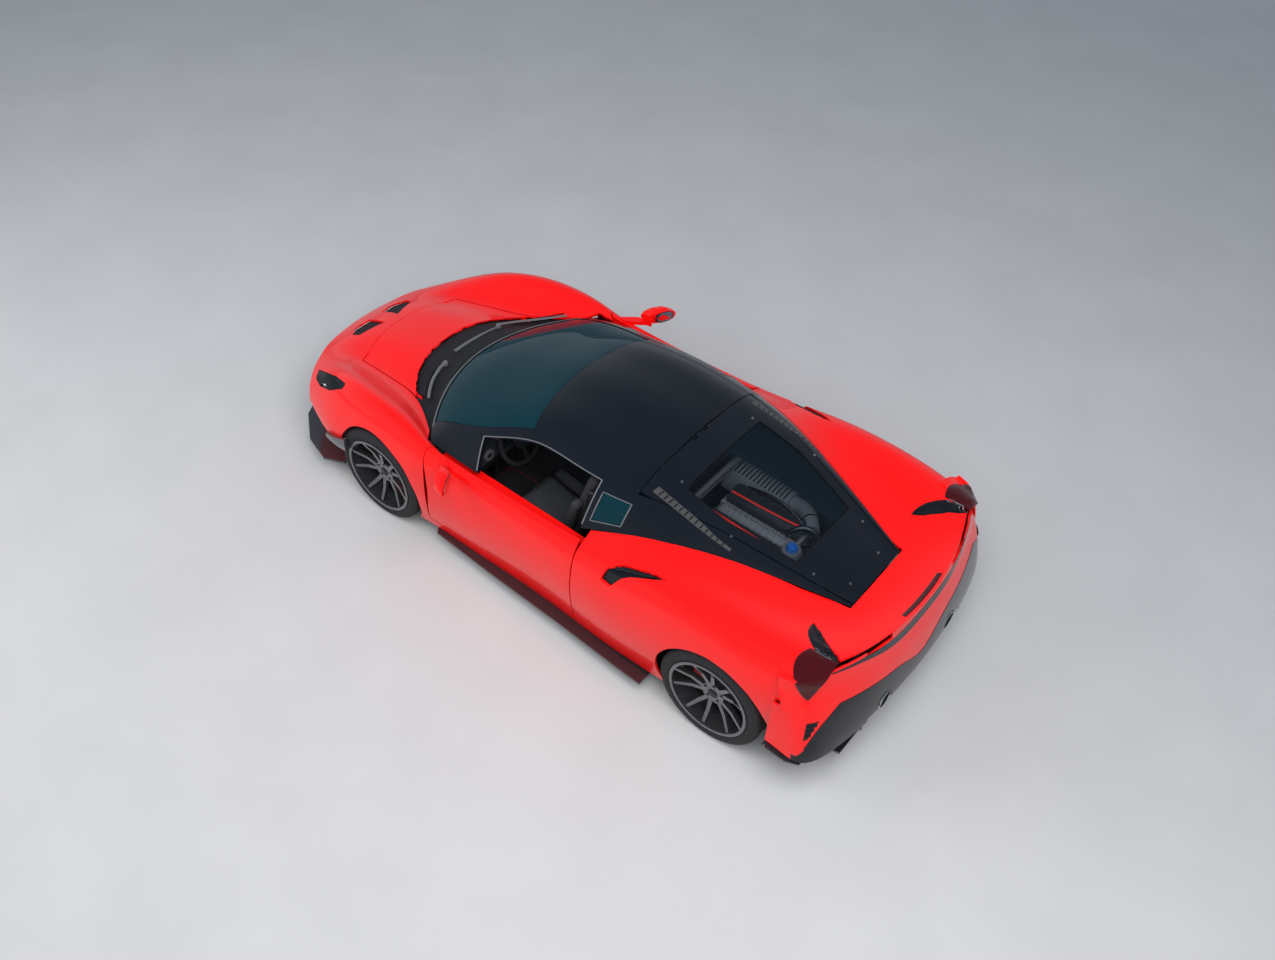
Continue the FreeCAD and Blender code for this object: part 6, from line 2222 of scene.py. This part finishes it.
    def wheel(self) -> None:
        """Centre pad, rim grips and the red mark on the rim of the steering wheel."""
        tilt = math.radians(22)
        middle = Vector((0.440, 0.370, 0.700))
        ahead = Vector((math.cos(tilt), 0, -math.sin(tilt)))
        up = Vector((math.sin(tilt), 0, math.cos(tilt)))
        out = Vector((0, 1, 0))
        shape = [(-0.075, 0.030), (-0.060, 0.050), (0.060, 0.050), (0.075, 0.030), (0.066, -0.030), (0.030, -0.062),
                 (-0.030, -0.062), (-0.066, -0.030)]
        rings = [[middle + ahead * depth + out * (a * grow) + up * (b * grow) for a, b in shape]
                 for depth, grow in ((-0.040, 0.86), (-0.034, 1.0), (-0.016, 1.0))]
        pad = Build.loft("wheel_pad", rings)
        Build.bevel(pad, 0.004)
        Build.declare(pad, "steering_wheel", Look.LEATHER)
        centre = middle - ahead * 0.004
        grips = [Build.tube("grip", self.arc(centre, out, up, first, 100, 17), 0.0165, 14) for first in (-50, 130)]
        Build.declare(Build.join("wheel_grips", grips), "steering_wheel", Look.SUEDE)
        mark = Build.tube("wheel_mark", self.arc(centre, out, up, 84, 12, 5), 0.0160, 14)
        Build.declare(mark, "steering_wheel", Look.STITCH)

    def arc(self, centre: Vector, out: Vector, up: Vector, first: float, sweep: float, count: int) -> list[Vector]:
        """Points along the rim of the steering wheel.

        Args:
            centre: the wheel's centre.
            out: direction at 0 degrees.
            up: direction at 90 degrees.
            first: angle of the first point, in degrees.
            sweep: angle from the first point to the last.
            count: points.

        Returns:
            The points.
        """
        turns = [math.radians(first + sweep * k / (count - 1)) for k in range(count)]
        return [centre + (out * math.cos(turn) + up * math.sin(turn)) * self.wheel_radius for turn in turns]

    def door_card(self, side: str, sign: int) -> None:
        """Trim on the inner face of a door.

        Args:
            side: left or right.
            sign: 1 on the left, -1 on the right.
        """
        node = f"door_{side}"
        outline = [(-0.42, 0.30), (0.54, 0.30), (0.58, 0.42), (0.56, 0.68), (0.30, 0.715), (-0.42, 0.735)]
        card = Build.prism(f"door_card_{side}", outline, 0.764 * sign, 0.7752 * sign, "Y", 0.004)
        Build.declare(card, node, Look.LEATHER)
        rest = [(-0.30, 0.50), (0.22, 0.47), (0.26, 0.50), (0.22, 0.535), (-0.30, 0.560)]
        arm = Build.prism(f"door_rest_{side}", rest, 0.728 * sign, 0.766 * sign, "Y", 0.010)
        Build.declare(arm, node, Look.SUEDE)
        pull = [(0.02, 0.735 * sign, 0.560), (0.05, 0.722 * sign, 0.585), (0.15, 0.722 * sign, 0.590),
                (0.19, 0.742 * sign, 0.562)]
        handle = Build.tube(f"door_pull_{side}", smooth_line(pull, 18), 0.008, 10)
        Build.declare(handle, node, Look.GREY)
        ring = Build.lathe(f"speaker_ring_{side}", [(0.062, 0.0), (0.070, 0.0), (0.072, -0.004 * sign),
                                                    (0.062, -0.004 * sign)], (0.43, 0.7645 * sign, 0.40), 40)
        Build.declare(ring, node, Look.GREY)
        # The speaker grille's holes are thin dark discs on the card's face, not openings: painted shade of the holes.
        hole = Build.lathe("hole", [(0.0, 0.0006), (0.0026, 0.0006), (0.0026, -0.0006), (0.0, -0.0006)], (0, 0, 0), 8,
                           "Y", False)
        holes = []
        for k, count in enumerate((6, 12, 18, 24)):
            part = Build.copy(hole, "hole", Matrix.Translation((0, 0, 0.012 * (k + 1))))
            holes.append(Repeat.make("holes", part, Repeat.ring(), Look.SOOT, Count=count,
                                     Centre=(0.43, 0.7640 * sign, 0.40)))
        bpy.data.objects.remove(hole)
        Build.declare(Build.join(f"speaker_holes_{side}", holes), node)

    def floor(self) -> None:
        """Carpets with red edging and the pedals."""
        for side, sign in (("left", 1), ("right", -1)):
            mat = Build.block(f"floor_mat_{side}", (0.30, self.seat_y * sign - 0.19, 0.1203),
                              (0.70, self.seat_y * sign + 0.19, 0.128), 0.003)
            Build.declare(mat, "floor_tub", Look.CARPET)
            a, b = self.seat_y * sign - 0.187, self.seat_y * sign + 0.187
            edge = [(0.304, a, 0.1275), (0.696, a, 0.1275), (0.696, b, 0.1275), (0.304, b, 0.1275)]
            Build.declare(Build.tube(f"mat_edge_{side}", edge, 0.002, 6, True), "floor_tub", Look.STITCH)
        for label, y in (("brake", 0.36), ("throttle", 0.24)):
            pad = Build.prism(f"{label}_pedal", [(0.655, 0.20), (0.668, 0.20), (0.700, 0.33), (0.688, 0.335)], y,
                              y + 0.07, "Y", 0.003)
            Build.declare(pad, "floor_tub", Look.STEEL)
            rod = Build.tube(f"{label}_pedal_arm", [(0.690, y + 0.035, 0.30), (0.712, y + 0.035, 0.36),
                                                    (0.722, y + 0.035, 0.44)], 0.007, 8)
            Build.declare(rod, "floor_tub", Look.FRAME)


class Studio:
    """The floor, the light and the camera."""

    place = (-3.5467, 4.59675, 6.3349)
    azimuth, down, roll = -54.157, 45.895, 3.742
    lens = 36.16
    horizon, zenith = (0.60, 0.64, 0.70, 1), (0.20, 0.24, 0.31, 1)

    def build(self) -> None:
        """Sets the camera, the floor and the lamps."""
        self.camera()
        self.floor()
        self.lamps()
        bpy.context.scene.view_settings.view_transform = "Standard"

    def camera(self) -> None:
        """Puts the camera where the photograph was taken from."""
        a, e, t = (math.radians(x) for x in (self.azimuth, self.down, self.roll))
        ahead = Vector((math.cos(e) * math.cos(a), math.cos(e) * math.sin(a), -math.sin(e)))
        right = ahead.cross(Vector((0, 0, 1))).normalized()
        up = right.cross(ahead)
        turned = right * math.cos(t) + up * math.sin(t)
        upright = up * math.cos(t) - right * math.sin(t)
        data = bpy.data.cameras.new("camera")
        data.lens, data.sensor_width, data.sensor_fit = self.lens, 36.0, "HORIZONTAL"
        data.clip_end = 200
        obj = Build.place("camera", data)
        turn = Matrix((turned, upright, -ahead)).transposed().to_4x4()
        obj.matrix_world = Matrix.Translation(self.place) @ turn
        bpy.context.scene.camera = obj

    def floor(self) -> None:
        """Lays a pale floor under the wheels."""
        size = 40.0
        plane = Build.mesh("floor", [(-size, -size, 0), (size, -size, 0), (size, size, 0), (-size, size, 0)],
                           [(0, 1, 2, 3)])
        shader = Shader("pale_floor")
        tone = shader.noise(1.5, 4.0)
        shader.set(shader.main.inputs["Base Color"], shader.mix(tone, (0.50, 0.495, 0.49), (0.58, 0.575, 0.57)))
        shader.main.inputs["Roughness"].default_value = 0.9
        plane.data.materials.append(shader.material)

    def lamps(self) -> None:
        """Lights the car softly from above."""
        world = bpy.data.worlds.new("studio")
        world.use_nodes = True
        tree = world.node_tree
        background = tree.nodes["Background"]
        split = tree.nodes.new("ShaderNodeSeparateXYZ")
        tree.links.new(tree.nodes.new("ShaderNodeTexCoord").outputs["Generated"], split.inputs[0])
        height = (Value(tree, split.outputs[2]) * 1.3).clamp()
        sky = tree.nodes.new("ShaderNodeMix")
        sky.data_type = "RGBA"
        sky.inputs[6].default_value, sky.inputs[7].default_value = self.horizon, self.zenith
        tree.links.new(height.socket, sky.inputs[0])
        tree.links.new(sky.outputs[2], background.inputs[0])
        bpy.context.scene.world = world
        for name, place, size, power in (("key", (-3.5, 3.0, 7.5), 6.0, 680), ("fill", (5.0, 5.0, 5.0), 5.0, 260)):
            data = bpy.data.lights.new(name, "AREA")
            data.size, data.energy = size, power
            lamp = Build.place(name, data)
            lamp.location = place
            lamp.visible_glossy = False
            lamp.rotation_euler = (Vector((0, 0, 0.4)) - Vector(place)).to_track_quat("-Z", "Y").to_euler()


NODE_LOOKS = {
    "floor_tub": Look.FRAME, "front_structure": Look.FRAME, "rear_structure": Look.FRAME, "engine": Look.CAST,
    "engine_airboxes": Look.CARBON, "seats": Look.SEAT, "dashboard": Look.SUEDE, "steering_wheel": Look.LEATHER,
    "front_splitter": Look.CARBON, "side_skirts": Look.CARBON, "rear_diffuser": Look.CARBON,
    "front_grilles": Look.TRIM, "side_intakes": Look.GLOSS, "tail_vents": Look.GLOSS, "tail_lamps": Look.RED_LAMP,
    "headlamps": Look.GLOSS, "wheel_liners": Look.LINER, "front_suspension": Look.FORGED,
    "rear_suspension": Look.FORGED, "rear_calipers": Look.CALIPER, "caliper_left": Look.CALIPER,
    "caliper_right": Look.CALIPER, "knuckle_left": Look.FORGED, "knuckle_right": Look.FORGED,
    "mirror_left": Look.PAINT, "mirror_right": Look.PAINT, "exhaust": Look.STEEL,
}


def dress_nodes() -> None:
    """Gives each CAD node that stays in view its finish."""
    for name, node in NODES.items():
        look = NODE_LOOKS.get(name)
        if name.startswith("tyre"):
            look = Look.RUBBER
        elif name.startswith("rim"):
            look = Look.RIM
        elif name.startswith("disc"):
            look = Look.DISC
        if look:
            for slot in node.material_slots:
                slot.material = Paints.get(look)


def main() -> None:
    """Builds the car piece by piece."""
    Studio().build()
    dress_nodes()
    BodyShell().build()
    for assembly in (WheelSet(), Glazing(), Lamps(), TailEnd(), SideTrim(), EngineBay(), Cabin()):
        assembly.build()


if __name__ == "__main__":
    main()
